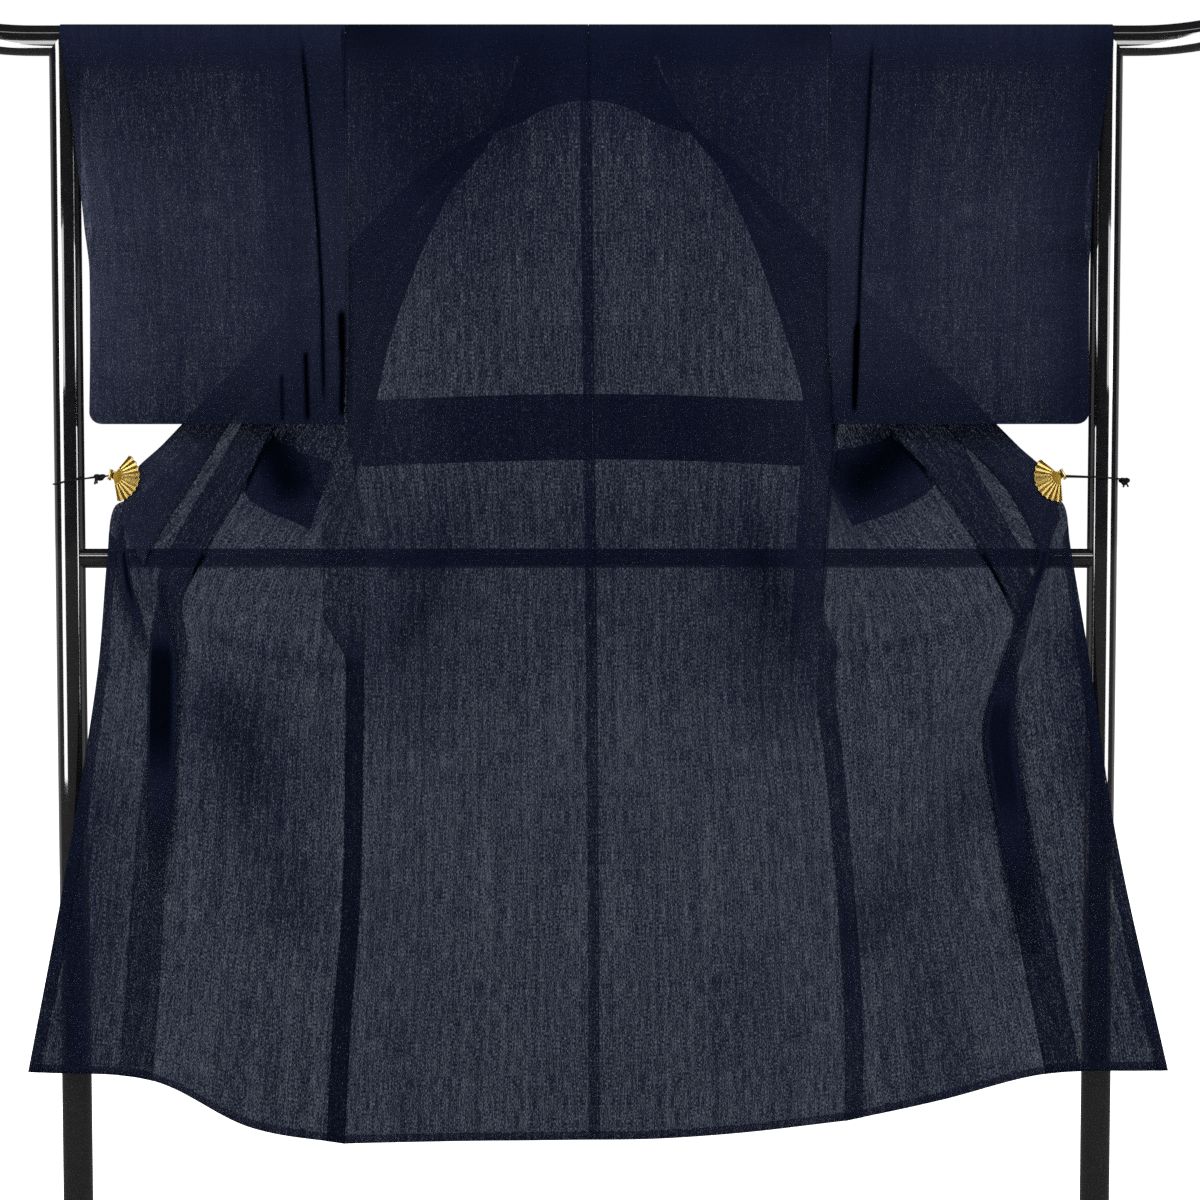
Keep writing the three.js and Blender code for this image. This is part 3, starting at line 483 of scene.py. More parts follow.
# where the cloth turns from the light, or to it where it is below 0: line, half width, how dark
shades = [
    ("sleeve", [(-0.385, 1.600), (-0.375, 1.400), (-0.372, 1.137)], 0.035, 0.55),
    ("sleeve", [(-0.325, 1.600), (-0.318, 1.400), (-0.318, 1.240)], 0.012, 0.30),
    ("sleeve", [(0.660, 1.600), (0.640, 1.400), (0.640, 1.160)], 0.050, 0.70),
    ("sleeve", [(0.400, 1.600), (0.390, 1.160)], 0.040, 0.30),
    ("back", [(-0.300, 1.650), (-0.180, 1.500)], 0.130, 0.75),
    ("back", [(0.300, 1.650), (0.200, 1.500)], 0.120, 0.55),
    ("back", [(-0.080, 1.520), (0.110, 1.520)], 0.050, 0.22),
    ("back", [(-0.100, 1.230), (0.120, 1.230)], 0.060, 0.16),
    ("back", [(0.210, 0.430), (0.210, 0.330)], 0.060, 0.20),
    ("okumi", [(0.700, 0.450), (0.725, 0.350)], 0.030, 0.40),
    ("back", [(-0.150, 1.350), (0.170, 1.350)], 0.110, 0.14),
    ("back", [(-0.350, 1.010), (0.370, 1.010)], 0.080, 0.32),
    ("back", [(-0.350, 0.880), (0.370, 0.880)], 0.070, 0.14),
    ("back", [(-0.225, 0.940), (-0.235, 0.760)], 0.055, 0.42),
    ("back", [(0.225, 0.940), (0.255, 0.780)], 0.060, 0.55),
    ("back", [(-0.230, 0.500), (-0.230, 0.250)], 0.060, 0.12),
    ("back", [(-0.070, 1.600), (0.090, 1.600)], 0.060, 0.45),
    ("front", [(-0.405, 1.104), (-0.385, 1.064)], 0.040, 1.30),
    ("front", [(0.400, 1.104), (0.358, 1.068)], 0.050, 1.30),
    ("front", [(-0.440, 0.760), (-0.400, 0.700)], 0.060, 0.40),
    ("tuck", [(0.045, 1.230), (0.045, 1.030)], 0.018, 0.50),
    ("tuck", [(0.128, 1.230), (0.128, 1.030)], 0.024, 0.50),
    ("tuck", [(-0.230, 1.230), (-0.230, 1.030)], 0.060, -0.50),
    ("front", [(-0.480, 0.770), (-0.430, 0.620), (-0.390, 0.520)], 0.050, 0.50),
    ("front", [(0.360, 0.480), (0.450, 0.585), (0.500, 0.660)], 0.040, 0.38),
    ("front", [(0.440, 0.460), (0.470, 0.290)], 0.060, 0.22),
    ("front", [(0.400, 0.790), (0.480, 0.740)], 0.040, 0.10),
    ("okumi", [(-0.640, 0.640), (-0.660, 0.330)], 0.060, 0.45),
    ("okumi", [(-0.575, 1.020), (-0.570, 0.930)], 0.030, 0.35),
    ("okumi", [(0.640, 0.860), (0.650, 0.700)], 0.035, 0.60),
]
# slow waves that every layer shares: turns across and up, shift, height
waves = [(23, 3.1, 0.0, 0.00060), (41, -2.3, 1.7, 0.00036), (9, 17, 0.0, 0.00024)]


def lineDistance(xs, zs, line):
    # signed distance from a line of points, and how far along it
    best = np.full(xs.shape, 1e9)
    signed = np.zeros(xs.shape)
    place = np.zeros(xs.shape)
    lengths = [math.dist(p, q) for p, q in zip(line, line[1:])]
    total, run = sum(lengths), 0.0
    for (ax, az), (bx, bz), span in zip(line, line[1:], lengths):
        ux, uz = (bx - ax) / span, (bz - az) / span
        t = np.clip((xs - ax) * ux + (zs - az) * uz, 0, span)
        dx, dz = xs - ax - t * ux, zs - az - t * uz
        distance = np.hypot(dx, dz)
        nearer = distance < best
        best = np.where(nearer, distance, best)
        signed = np.where(nearer, distance * np.where(dx * uz - dz * ux > 0, -1, 1), signed)
        place = np.where(nearer, (run + t) / total, place)
        run += span
    return signed, place


def foldField(points, kind):
    xs, zs = points[..., 0], points[..., 2]
    lift, dark = np.zeros(xs.shape), np.zeros(xs.shape)
    for marks, line, width, depth, tone in folds:
        signed, place = lineDistance(xs, zs, line)
        fade = ease(0, 0.12, place) * ease(0, 0.12, 1 - place)
        shape = np.exp(-(signed / width) ** 2) * fade
        lift -= depth * shape
        if marks == kind:
            # painted shade beside each crease
            dark += tone * np.exp(-((signed - width * 0.4) / width) ** 2) * fade
    for marks, line, width, tone in shades:
        if marks == kind:
            signed, place = lineDistance(xs, zs, line)
            dark += tone * np.exp(-(signed / width) ** 2)
    for across, up, shift, size in waves:
        lift += size * np.sin(xs * across + zs * up + shift) * ease(1.60, 1.45, zs)
    return lift, dark


def paintedSheenField(points, kind):
    # painted sheen: how much of the pale, lit thread colour shows, raised where the light falls
    # more on the cloth, mostly towards the sides
    xs, zs = points[..., 0], points[..., 2]
    out = np.abs(xs)
    if kind == "sleeve":
        body = 0.07 + 0.16 * ease(1.58, 1.38, zs) * ease(1.13, 1.26, zs)
        return body + 0.26 * ease(0.54, 0.66, -xs) * ease(1.60, 1.40, zs)
    if kind in ("back", "tuck"):
        return 0.03 + 0.08 * ease(0.15, 0.32, out) + 0.075 * ease(1.0, 0.6, zs)
    if kind == "collar":
        return 0.02 + 0.10 * ease(0.45, 0.60, out) + 0.10 * ease(0.38, 0.50, -xs)
    if kind == "okumi":
        return 0.05 + 0.06 * ease(0.50, 0.60, -xs) * ease(0.69, 0.63, -xs)
    return 0.02 + (0.07 + 0.075 * ease(0.35, 0.60, out)) * ease(1.45, 1.15, zs)


def patch(points, kind, grain, wrap=False, holds=None, dark=0.0, close=0.0, lifted=True):
    # one woven stretch: a grid of places with its grain in metres
    points = np.array(points, float)
    lift, tone = foldField(points, kind)
    if lifted:
        points[..., 1] += lift
    # the weave closes where it bends over the bar, and a painted shade darkens it there
    low, high, most = cloth["shut"]
    shut = np.maximum(most * ease(low, high, points[..., 2]), close)
    low, high, most = cloth["barShade"]
    dark = dark + most * ease(low, high, points[..., 2])
    return {"points": points, "grain": np.array(grain, float), "wrap": wrap, "holds": holds,
            "tone": tone + dark, "haze": paintedSheenField(points, kind), "close": shut}


def showPiece(name, mesh, finish):
    mesh.shade_smooth()
    mesh.materials.append(finish)
    piece = bpy.data.objects.new(name, mesh)
    bpy.context.collection.objects.link(piece)
    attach(piece, "root")
    return piece


def standIn(piece, node):
    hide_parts(node)


def makeCloth(name, patches, finish, thickness=None):
    places, faces, faceGrain = [], [], []
    # tone holds the painted shade on the cloth and the hub's own ochre on the fans; haze holds the
    # painted sheen
    marks = {"tone": [], "haze": [], "close": []}
    for item in patches:
        rows, columns = item["points"].shape[:2]
        start = len(places)
        places.extend(map(tuple, item["points"].reshape(-1, 3)))
        for label, values in marks.items():
            values.extend(item[label].reshape(-1))
        flat = item["grain"].reshape(-1, 2)
        for i in range(rows - 1):
            for j in range(columns if item["wrap"] else columns - 1):
                if item["holds"] is not None and not item["holds"](i, j):
                    continue
                corners = [(i, j), (i, (j + 1) % columns), (i + 1, (j + 1) % columns), (i + 1, j)]
                ids = [a * columns + b for a, b in corners]
                faces.append([start + n for n in ids])
                grain = [tuple(flat[n]) for n in ids]
                if item["wrap"] and j == columns - 1:
                    step = flat[1] - flat[0]
                    grain[1] = tuple(flat[ids[0]] + step)
                    grain[2] = tuple(flat[ids[3]] + step)
                faceGrain.extend(grain)
    used = sorted({n for face in faces for n in face})
    renumber = {n: i for i, n in enumerate(used)}
    mesh = bpy.data.meshes.new(name)
    mesh.from_pydata([places[n] for n in used], [], [[renumber[n] for n in face] for face in faces])
    for label, values in marks.items():
        attribute = mesh.attributes.new(label, "FLOAT", "POINT")
        attribute.data.foreach_set("value", np.array([values[n] for n in used], np.float32))
    layer = mesh.uv_layers.new(name="grain")
    layer.data.foreach_set("uv", np.array(faceGrain, np.float32).ravel())
    piece = showPiece(name, mesh, finish)
    shell = piece.modifiers.new("thickness", "SOLIDIFY")
    shell.thickness = thickness or cloth["thickness"]
    shell.offset = 0.0
    return piece


def rowNormals(points):
    # unit normals of a grid of places
    across = np.gradient(points, axis=1)
    down = np.gradient(points, axis=0)
    normal = np.cross(across, down)
    return normal / np.maximum(np.linalg.norm(normal, axis=2, keepdims=True), 1e-9)


def doubled(points, gap):
    # a flat tube: the grid twice, a little apart, joined at both long edges
    normal = rowNormals(points) * gap / 2
    return np.concatenate([points + normal, (points - normal)[:, ::-1]], axis=1)


clothLook = {
    # the navy thread in shade and in full light: a shaded and a lit copy of one colour, mixed by
    # the painted sheen
    "deep": (0.0022, 0.0034, 0.0095),
    "pale": (0.034, 0.037, 0.062),
    "open": 0.42,  # how far each face of a layer is open to what lies behind
    "weave": (980, 300, 1),
    "specks": (1000, 1000, 1),
    "dashes": (560, 40, 1),
    "streaks": (120, 4, 1),
    "rows": (9, 420, 1),
    "clouds": (14, 9, 1),
}


def clothFinish(name, open_):
    look = Finish(name)
    grain = look.add("ShaderNodeUVMap", {"uv_map": "grain"})
    haze, tone, close = look.mark("haze"), look.mark("tone"), look.mark("close")
    weave, specks, dashes, streaks, rows, clouds = (
        look.noise(look.stretched(grain, clothLook[key]), 1.0) - 0.5
        for key in ("weave", "specks", "dashes", "streaks", "rows", "clouds"))
    gleam = (1 + weave * 3.6 + specks * 1.6 + dashes * 2.2 + streaks * 1.3
             + rows * 1.1 + clouds * 0.7)
    # painted shade: tone dims the sheen, turns the colour towards black above 0.5 and closes the
    # weave
    shaded = (1 - tone * 0.8).clamp()
    glow = (haze * gleam * shaded).clamp()
    thread = look.mixColour(glow, colour(*clothLook["deep"]), colour(*clothLook["pale"]))
    shade = look.mixColour((tone - 0.5).clamp(), thread, colour(0, 0, 0))
    gaps = (open_ + weave * 3.3 + specks * 0.9 + dashes * 1.5 + streaks * 0.6
            + clouds * 0.15 - tone * 0.42)
    cover = (1 - gaps.clamp() * (1 - close)).clamp()
    return look.surface({
        "Base Color": shade, "Roughness": 0.85, "Specular IOR Level": 0.0, "Alpha": cover,
        "Normal": look.bump(weave, 0.25, 0.0006)})


def glossFinish(name):
    look = Finish(name)
    spot = look.add("ShaderNodeTexCoord")["Object"]
    dust = look.noise(spot, 60.0, 4.0)
    peel = look.noise(spot, 900.0)
    rough = 0.07 + dust.ramp(0.45, 0.75) * 0.06
    shade = look.mixColour(dust, colour(0.0025, 0.0025, 0.003), colour(0.006, 0.006, 0.007))
    return look.surface({
        "Base Color": shade, "Roughness": rough, "Specular IOR Level": 1.0, "Coat Weight": 1.0,
        "Coat Roughness": 0.04, "Normal": look.bump(peel, 0.02, 0.0003)})


def goldFinish(name):
    look = Finish(name)
    spot = look.add("ShaderNodeTexCoord")["Object"]
    ochre = look.mark("tone")
    wear = look.noise(spot, 400.0, 4.0)
    grit = look.noise(spot, 1800.0)
    bright = look.mixColour(wear, colour(0.42, 0.29, 0.070), colour(0.58, 0.42, 0.14))
    shade = look.mixColour(ochre, bright, colour(0.27, 0.165, 0.022))
    return look.surface({
        "Base Color": shade, "Metallic": 1.0, "Roughness": 0.32 + wear * 0.12 + ochre * 0.15,
        "Normal": look.bump(wear + grit * ochre, 0.06, 0.0004)})


def cordFinish(name):
    look = Finish(name)
    spot = look.add("ShaderNodeTexCoord")["Object"]
    twist = look.add("ShaderNodeTexWave", {"bands_direction": "DIAGONAL"},
                     {"Vector": spot, "Scale": 420.0, "Distortion": 1.0, "Detail": 1.0})["Fac"]
    shade = look.mixColour(twist, colour(0.0010, 0.0010, 0.0012), colour(0.0080, 0.0080, 0.0090))
    return look.surface({
        "Base Color": shade, "Roughness": 0.75, "Specular IOR Level": 0.05,
        "Normal": look.bump(twist, 0.5, 0.0003)})


def rubberFinish(name):
    look = Finish(name)
    spot = look.add("ShaderNodeTexCoord")["Object"]
    grit = look.noise(spot, 700.0, 3.0)
    shade = look.mixColour(grit, colour(0.012, 0.012, 0.012), colour(0.035, 0.035, 0.034))
    return look.surface({
        "Base Color": shade, "Roughness": 0.8, "Normal": look.bump(grit, 0.3, 0.0004)})


sheer = clothFinish("sheer cloth", clothLook["open"])
doubleSheer = clothFinish("collar cloth", clothLook["open"] - 0.06)
gloss = glossFinish("gloss black")
gold = goldFinish("gold plate")
cordBlack = cordFinish("black cord")
rubber = rubberFinish("foot rubber")
print("finishes ready")


panel = {
    "sideColumns": 66,
    "neckColumns": 14,
    "foldSteps": 8,
    "foldRow": 0.004,
    "hemTurn": 0.011,
    # distances down the cloth: where the side allowance narrows, darkens with painted shade, ends
    # and lies flat
    "sideAllowance": (0.024, 0.056),  # below and above the waist
    "narrowing": (0.78, 0.84),
    "darkening": (0.74, 0.86),
    "ending": (0.75, 0.85),
    "flattening": (0.66, 0.60),
    "standOut": 0.0035,
    "wideShare": 0.13,  # of the back's width, where it is pressed inwards
    "turnedAway": 0.003,
}


def downSteps():
    fold = list(np.linspace(0, quarterFold, panel["foldSteps"] + 1))
    step, drop = panel["foldRow"], cloth["neckDrop"]
    upper = list(np.arange(fold[-1] + step, drop, step)) + [drop]
    count = int((cloth["length"] - drop) / cloth["fine"])
    return fold + upper + list(np.linspace(drop, cloth["length"], count + 1))[1:]


def hemSteps():
    return np.linspace(cloth["length"] - panel["hemTurn"], cloth["length"] - 0.0004, 4)


def darkRows(downs, values, reach):
    # one tone for each row, from the first value to the second
    upper, low = values
    return np.array([[upper + (low - upper) * ease(*reach, down)] for down in downs])


def bodyGrid(half):
    side = abs(along(half["side"], cloth["barHeight"], 1))
    neckShare = (side - cloth["neckHalfWidth"]) / side
    shares = np.concatenate([np.linspace(0, neckShare, panel["sideColumns"] + 1),
                             np.linspace(neckShare, 1, panel["neckColumns"] + 1)[1:]])
    acrosses = np.minimum(np.arange(len(shares)) / panel["sideColumns"], 1) * 2
    downs = downSteps()
    rows, grain = [], []
    width = cloth["panelWidth"]
    for down in reversed(downs):
        rows.append(backRow(half, down, shares))
        grain.append([(share * width, -down) for share in shares])
    for down in downs[1:]:
        if down <= cloth["neckDrop"]:
            row = backRow(half, down, shares)
            row[:, 1] *= -1
        else:
            row = frontRow(half, down, acrosses)
        rows.append(row)
        grain.append([(share * width, down) for share in shares])
    return np.array(rows), np.array(grain), downs


def edgeStrip(half, down, start, end, width, columns=8):
    # a row that follows the front from one of its lines for a given width of cloth
    row = frontRow(half, down, np.linspace(start, end, 24))
    run = np.concatenate([[0], np.cumsum(np.linalg.norm(np.diff(row, axis=0), axis=1))])
    places = np.linspace(0, min(width, run[-1]), columns)
    return np.stack([np.interp(places, run, row[:, axis]) for axis in range(3)], axis=1)


def layer(points, kind, side, dark=0.0, close=0.0):
    # one more thickness of cloth on a panel, in front of it at -1 and behind it at 1
    points = np.array(points, float)
    points[..., 1] += side * cloth["layerGap"] * 0.7
    rows, columns = points.shape[:2]
    grain = [[(0.004 * j + 0.17, 0.0055 * i + 0.4) for j in range(columns)] for i in range(rows)]
    return patch(points, kind, grain, dark=dark, close=close)


def bodyPiece(half):
    points, grain, downs = bodyGrid(half)
    sign, gap = half["sign"], cloth["seamGap"] / 2
    backRows = len(downs)
    neckRow = backRows + sum(1 for down in downs[1:] if down <= cloth["neckDrop"]) - 1
    points[:neckRow + 1, -1, 0] += sign * gap
    points[:, 0, 0] -= sign * gap

    def holds(i, j):
        return i < neckRow or j < panel["sideColumns"]

    both = patch(points, "back", grain, holds=holds)
    front = patch(points, "front", grain, holds=holds)
    for key in ("tone", "haze"):
        both[key][backRows:] = front[key][backRows:]
    lower = [down for down in downs if down > quarterFold + 0.012]
    middle = []
    for down in lower:
        row = backRow(half, down, np.ones(4))
        row[:, 0] += sign * np.linspace(*half["middleAllowance"], 4)
        middle.append(row)
    sewn = [down for down in lower if down > cloth["barHeight"] - cloth["sideTop"] + 0.01]
    side = [sideStrip(half, down) for down in sewn]
    shares = np.linspace(0, 1, 60)
    backHem = [backRow(half, down, shares) for down in hemSteps()]
    frontHem = [frontRow(half, down, shares * 2) for down in hemSteps()]
    patches = [both, layer(middle, "back", 1),
               layer(side, "front", -1, darkRows(sewn, half["sideDark"], panel["darkening"])),
               layer(backHem, "back", 1), layer(frontHem, "front", -1)]
    if half["wideSide"] == "back":
        upper = [down for down in sewn if down < panel["ending"][1]]
        wide = [backRow(half, down, np.linspace(0, panel["wideShare"], 8)) for down in upper]
        fading = darkRows(upper, (0.0, cloth["gone"]), panel["ending"])
        patches.append(layer(wide, "back", 1, fading))
    return patches


def sideStrip(half, down):
    # the side seam's allowance, which lies flat across the slack above the waist
    narrow, wide = panel["sideAllowance"]
    if half["wideSide"] == "back":
        wide = panel["turnedAway"]
    row = edgeStrip(half, down, 0, 1, wide + (narrow - wide) * ease(*panel["narrowing"], down))
    out = np.linspace(0, wide, len(row))
    flat = row[0] + out[:, None] * (half["sign"], 0, 0)
    flat[:, 1] -= panel["standOut"] * ease(0, 0.02, out)
    return row + (flat - row) * ease(*panel["flattening"], down)


okumi = {
    # distances down the cloth
    "start": 0.31,
    "allowanceStart": 0.50,
    "darkening": (0.82, 0.98),
    "edgeStart": 0.84,
    "edgeTurn": 0.016,
    "topY": -0.008,
    "foldOut": 0.0012,
    "foldGap": 0.0014,
    "pleatClose": 0.95,
    "fadeIn": 0.25,
    "fadeOut": 0.55,
    "thickSeam": 0.0022,
    "thickDark": 1.3,
    "thickClose": 0.9,
}


def okumiPatches(half):
    downs = [down for down in downSteps() if down >= okumi["start"]]
    sewn = [down for down in downs if down > okumi["allowanceStart"]]
    shares = np.linspace(2, 3, 25)
    points = [frontRow(half, down, shares) for down in downs]
    grain = [[(share * cloth["okumiWidth"], down) for share in shares] for down in downs]
    seam = [edgeStrip(half, down, 2, 3, along(half["allowance"], down, 1)) for down in sewn]
    edge = [edgeStrip(half, down, 3, 2.2, okumi["edgeTurn"])
            for down in downs if down > okumi["edgeStart"]]
    hem = [frontRow(half, down, np.linspace(2, 3, 40)) for down in hemSteps()]
    seamShade = darkRows(sewn, half["allowanceDark"], okumi["darkening"])
    return [patch(points, "okumi", grain), layer(seam, "okumi", -1, seamShade),
            layer(edge, "okumi", -1), layer(hem, "okumi", -1),
            *(foldedStrip(half, key) for key in ("pleat", "crease")),
            *(thickSeam(half, start, end) for start, end in half["thickSeams"])]


def thickSeam(half, start, end):
    # where all the layers of the okumi seam lie on each other
    width = okumi["thickSeam"] * np.linspace(-1, 1, 7)
    rows = []
    for down in np.linspace(start, end, 24):
        middle, beside = frontRow(half, down, [2, 2.06])
        across = (beside - middle) / np.linalg.norm(beside - middle)
        rows.append([middle + across * w for w in width])
    down = np.linspace(0, 1, 24)
    full = (ease(-0.01, 0.2, down) * ease(-0.01, 0.2, 1 - down))[:, None] * np.ones(7)
    dark = cloth["gone"] + (okumi["thickDark"] - cloth["gone"]) * full
    return layer(rows, "okumi", -2.2, dark, full * okumi["thickClose"])


def foldedStrip(half, key):
    # a soft-edged fold: closed and dark with painted shade where it is full, and gone where it runs
    # out
    left, right = half[key + "Edges"]
    points = doubled(strip(half, half[key]), okumi["foldGap"])
    rows, columns = points.shape[:2]
    across = np.linspace(0, 1, columns // 2)
    across = np.concatenate([across, across[::-1]])
    sides = ease(-0.001, left, across) * ease(-0.001, right, 1 - across)
    down = np.linspace(0, 1, rows)
    ends = ease(-0.01, okumi["fadeIn"], down) * ease(0, okumi["fadeOut"], 1 - down)
    full = sides[None, :] * ends[:, None]
    dark = cloth["gone"] + (half["pleatDark"] - cloth["gone"]) * full
    return layer(points, "okumi", -1, dark, okumi["pleatClose"] * full ** 2)


def strip(half, rows):
    # a narrow fold that lies on the okumi, from its rows of height, left and right edge
    top = rows[0][0]
    out = []
    for z in np.linspace(top, rows[-1][0], 60):
        left, right = along(rows, z, 1), along(rows, z, 2)
        y = okumi["topY"] + (backY(z) - okumi["topY"]) * ease(0, 0.12, half["crease"][0][0] - z)
        out.append([(x, y - okumi["foldOut"], z) for x in np.linspace(left, right, 10)])
    return np.array(out)


collar = {
    "end": 0.825,
    "tailShare": 0.5,
    "standOff": 0.0036,
    "standEnd": 0.40,
    "lap": (0.060, 0.030),  # where it begins to lie over the okumi, before and after its tail
    "lapOut": 0.0030,
    "overlap": 0.0015,
    "columns": 10,
    "gap": 0.0012,
}


def collarRow(half, down):
    if down <= cloth["okumiTip"]:
        sewn = frontRow(half, down, [2])[0]
    else:
        reach = collar["tailShare"] * ease(half["tailStart"], collar["end"], down)
        sewn = frontRow(half, down, [3 - reach])[0]
    rim = placeAlong(half["rim"], down)
    before, after = collar["lap"]
    over = ease(half["tailStart"] - before, half["tailStart"] + after, down)
    stand = collar["standOff"] * ease(0, 0.2, collar["standEnd"] - down)
    sewn[1] += stand - collar["lapOut"] * over
    start = sewn - (rim - sewn) * collar["overlap"] / np.linalg.norm(rim - sewn)
    return [start + (rim - start) * t for t in np.linspace(0, 1, collar["columns"] + 1)]


def collarPiece():
    downs = [down for down in downSteps() if 0.08 <= down <= collar["end"]]
    rows = [collarRow(halves["right"], down) for down in reversed(downs)]
    for share in np.linspace(0, 1, 41):
        read = [along(neckLine, share, column) for column in range(1, 6)]
        sewn = np.array([read[0], cloth["foldRadius"], read[1] - cloth["seamGap"]])
        free = np.array([read[2], read[4], read[3]])
        rows.append([sewn + (free - sewn) * t for t in np.linspace(0, 1, collar["columns"] + 1)])
    rows += [collarRow(halves["left"], down) for down in downs]
    points = doubled(np.array(rows), collar["gap"])
    count = points.shape[1]
    grain = [[(j / count * cloth["okumiWidth"], i * cloth["fine"]) for j in range(count)]
             for i in range(len(points))]
    piece = makeCloth("collar_band", [patch(points, "collar", grain, wrap=True)], doubleSheer)
    standIn(piece, "collar")


sleeve = {
    "bottom": 1.137,
    "bottomY": -0.025,
    "seamGap": 0.0019,
    "bottomGap": 0.0034,
    "cuffClear": 1.422,
    "corner": 0.016,
    "armGap": 0.0008,
    "allowanceGap": 0.001,
    "drift": 0.003,  # how far the sleeve hangs away from the body below the armhole
    "underBody": 0.004,  # how far the allowance passes behind the body
    "columns": 130,
    "rows": 96,
}


def cuffX(half, z):
    x = along(half["cuff"], z, 1)
    up = z - sleeve["bottom"]
    if up >= sleeve["corner"]:
        return x
    rest = sleeve["corner"] - up
    return x - half["sign"] * (sleeve["corner"] - math.sqrt(max(sleeve["corner"]**2 - rest**2, 0)))


def sleeveY(z, side, share):
    cuffward = ease(0.55, 0.95, share)
    start = cloth["barHeight"] + (sleeve["cuffClear"] - cloth["barHeight"]) * cuffward
    fall = min(max((start - z) / (start - sleeve["bottom"]), 0), 1)
    open_ = cloth["foldRadius"] + (sleeve["bottomGap"] / 2 - cloth["foldRadius"]) * fall
    sewn = ease(0, 0.06, sleeve["cuffClear"] - 0.03 - z) * cuffward
    return sleeve["bottomY"] * fall + side * (open_ + (sleeve["seamGap"] / 2 - open_) * sewn)


def armX(half, z, gap):
    # the edge beside the body: the armhole's seam, and below it the sleeve's own edge
    below = cloth["armholeBottom"] - z
    arm = along(half["side"], max(z, cloth["armholeBottom"]), 1)
    return arm + half["sign"] * (gap + sleeve["drift"] * ease(0, 0.09, below))


def sleevePoint(half, z, side, share):
    arm = armX(half, z, sleeve["armGap"])
    return (arm + (cuffX(half, z) - arm) * share, sleeveY(z, side, share), z)


def sleevePiece(name, half):
    bar, radius = cloth["barHeight"], cloth["foldRadius"]
    rise = 1 - np.cos(np.linspace(0, math.pi / 2, sleeve["rows"] + 1))
    low = sleeve["bottom"] + (bar - sleeve["bottom"]) * rise
    rows, grain = [], []
    for n in range(sleeve["columns"] + 1):
        share = n / sleeve["columns"]
        loop, run = [], []
        for z in low:
            loop.append(sleevePoint(half, z, 1, share))
            run.append((share * cloth["panelWidth"], z))
        for angle in np.linspace(0, math.pi, 17)[1:-1]:
            z = bar + radius * math.sin(angle)
            x, _, _ = sleevePoint(half, z, 0, share)
            loop.append((x, radius * math.cos(angle), z))
            run.append((share * cloth["panelWidth"], bar + angle * radius))
        for z in reversed(low):
            loop.append(sleevePoint(half, z, -1, share))
            run.append((share * cloth["panelWidth"], 2 * bar + math.pi * radius - z))
        rows.append(loop)
        grain.append(run)
    points = np.array(rows)
    inner = []
    for z in np.linspace(sleeve["bottom"] + 0.006, bar - 0.006, 90):
        under = sleeve["underBody"] * ease(0, 0.01, z - cloth["armholeBottom"])
        arm = armX(half, z, sleeve["allowanceGap"] - under)
        fold = along(half["sleeveFold"], z, 1)
        inner.append([(x, sleeveY(z, -1, 0), z) for x in np.linspace(arm, fold, 14)])
    outer = patch(points, "sleeve", grain, wrap=True)
    piece = makeCloth(name + "_sleeve", [outer, layer(inner, "sleeve", 1)], sheer)
    standIn(piece, "sleeve_" + name)


tucks = {
    "behind": 0.0022,  # how far behind the back and the fronts they lie
    "behindFront": 0.0026,
    "bow": 0.009,
    # dark: painted shade on the front tucks; close: how far their weave closes
    "dark": 1.1,
    "close": 0.8,
}


def makeTuck(name, rows, kind, weave, dark=0.0, close=0.0):
    points = doubled(np.array(rows).transpose(1, 0, 2), cloth["layerGap"])
    count = points.shape[1]
    step, width = weave
    grain = [[(i * step, j / count * width) for j in range(count)] for i in range(len(points))]
    return makeCloth(name, [patch(points, kind, grain, wrap=True, dark=dark, close=close)], sheer)


def backTuck(name, half):
    spec = half["backTuck"]
    rows = []
    for z in np.linspace(spec["top"], spec["bottom"], 17):
        middle = along(middleLine, z, 1) + half["sign"] * cloth["seamGap"] / 2
        row = []
        for t in np.linspace(0, 1, 61):
            x = spec["side"] + (middle - spec["side"]) * t
            up = tucks["bow"] * math.sin(t * math.pi / 2)
            row.append((x, backY(z) + tucks["behind"], z + up))
        rows.append(row)
    piece = makeTuck(name + "_back_tuck", rows, "tuck", (0.0045, 0.19))
    standIn(piece, "back_tuck_" + name)


def frontTuck(name, half):
    sides = half["frontTuck"]["fold"], half["frontTuck"]["seam"]
    rows = []
    for t in np.linspace(0, 1, 17):
        start, end = (np.array(side[0]) + (np.array(side[1]) - side[0]) * t for side in sides)
        row = [frontRow(half, *(start + (end - start) * u).tolist())[0]
               for u in np.linspace(0, 1, 31)]
        rows.append(np.array(row) + (0, tucks["behindFront"], 0))
    piece = makeTuck(name + "_front_tuck", rows, "front", (0.004, 0.16),
                     tucks["dark"], tucks["close"])
    standIn(piece, "front_tuck_" + name)


for name, half in halves.items():
    body = makeCloth(name + "_panel", bodyPiece(half), sheer)
    standIn(body, "body_" + name)
    overlap = makeCloth(name + "_okumi", okumiPatches(half), sheer)
    standIn(overlap, "okumi_" + name)
    sleevePiece(name, half)
    backTuck(name, half)
    frontTuck(name, half)
collarPiece()
print("cloth ready")


clips = {
    "left": {"x": -0.612, "z": 1.071, "from": -80, "to": 50},
    "right": {"x": 0.614, "z": 1.071, "from": 142, "to": 274},
    "reach": 0.0335,
    "hub": 0.0125,
    "y": -0.0163,
    "pleats": 10,
    "pleatDepth": 0.0011,
    "scallop": 0.0013,
    "leaf": 0.0005,
    "dome": 0.0008,
    "rimOut": 0.0006,
    "rimWire": 0.0008,
    "edgeWire": 0.0005,
    "barrel": (0.0026, 0.0140, 0.0036),  # radius, length, distance out from the pivot
    "barrelY": -0.0172,
}


def fanPoint(spec, degrees, radius, y):
    turn = math.radians(degrees)
    return (spec["x"] + radius * math.cos(turn), y, spec["z"] + radius * math.sin(turn))


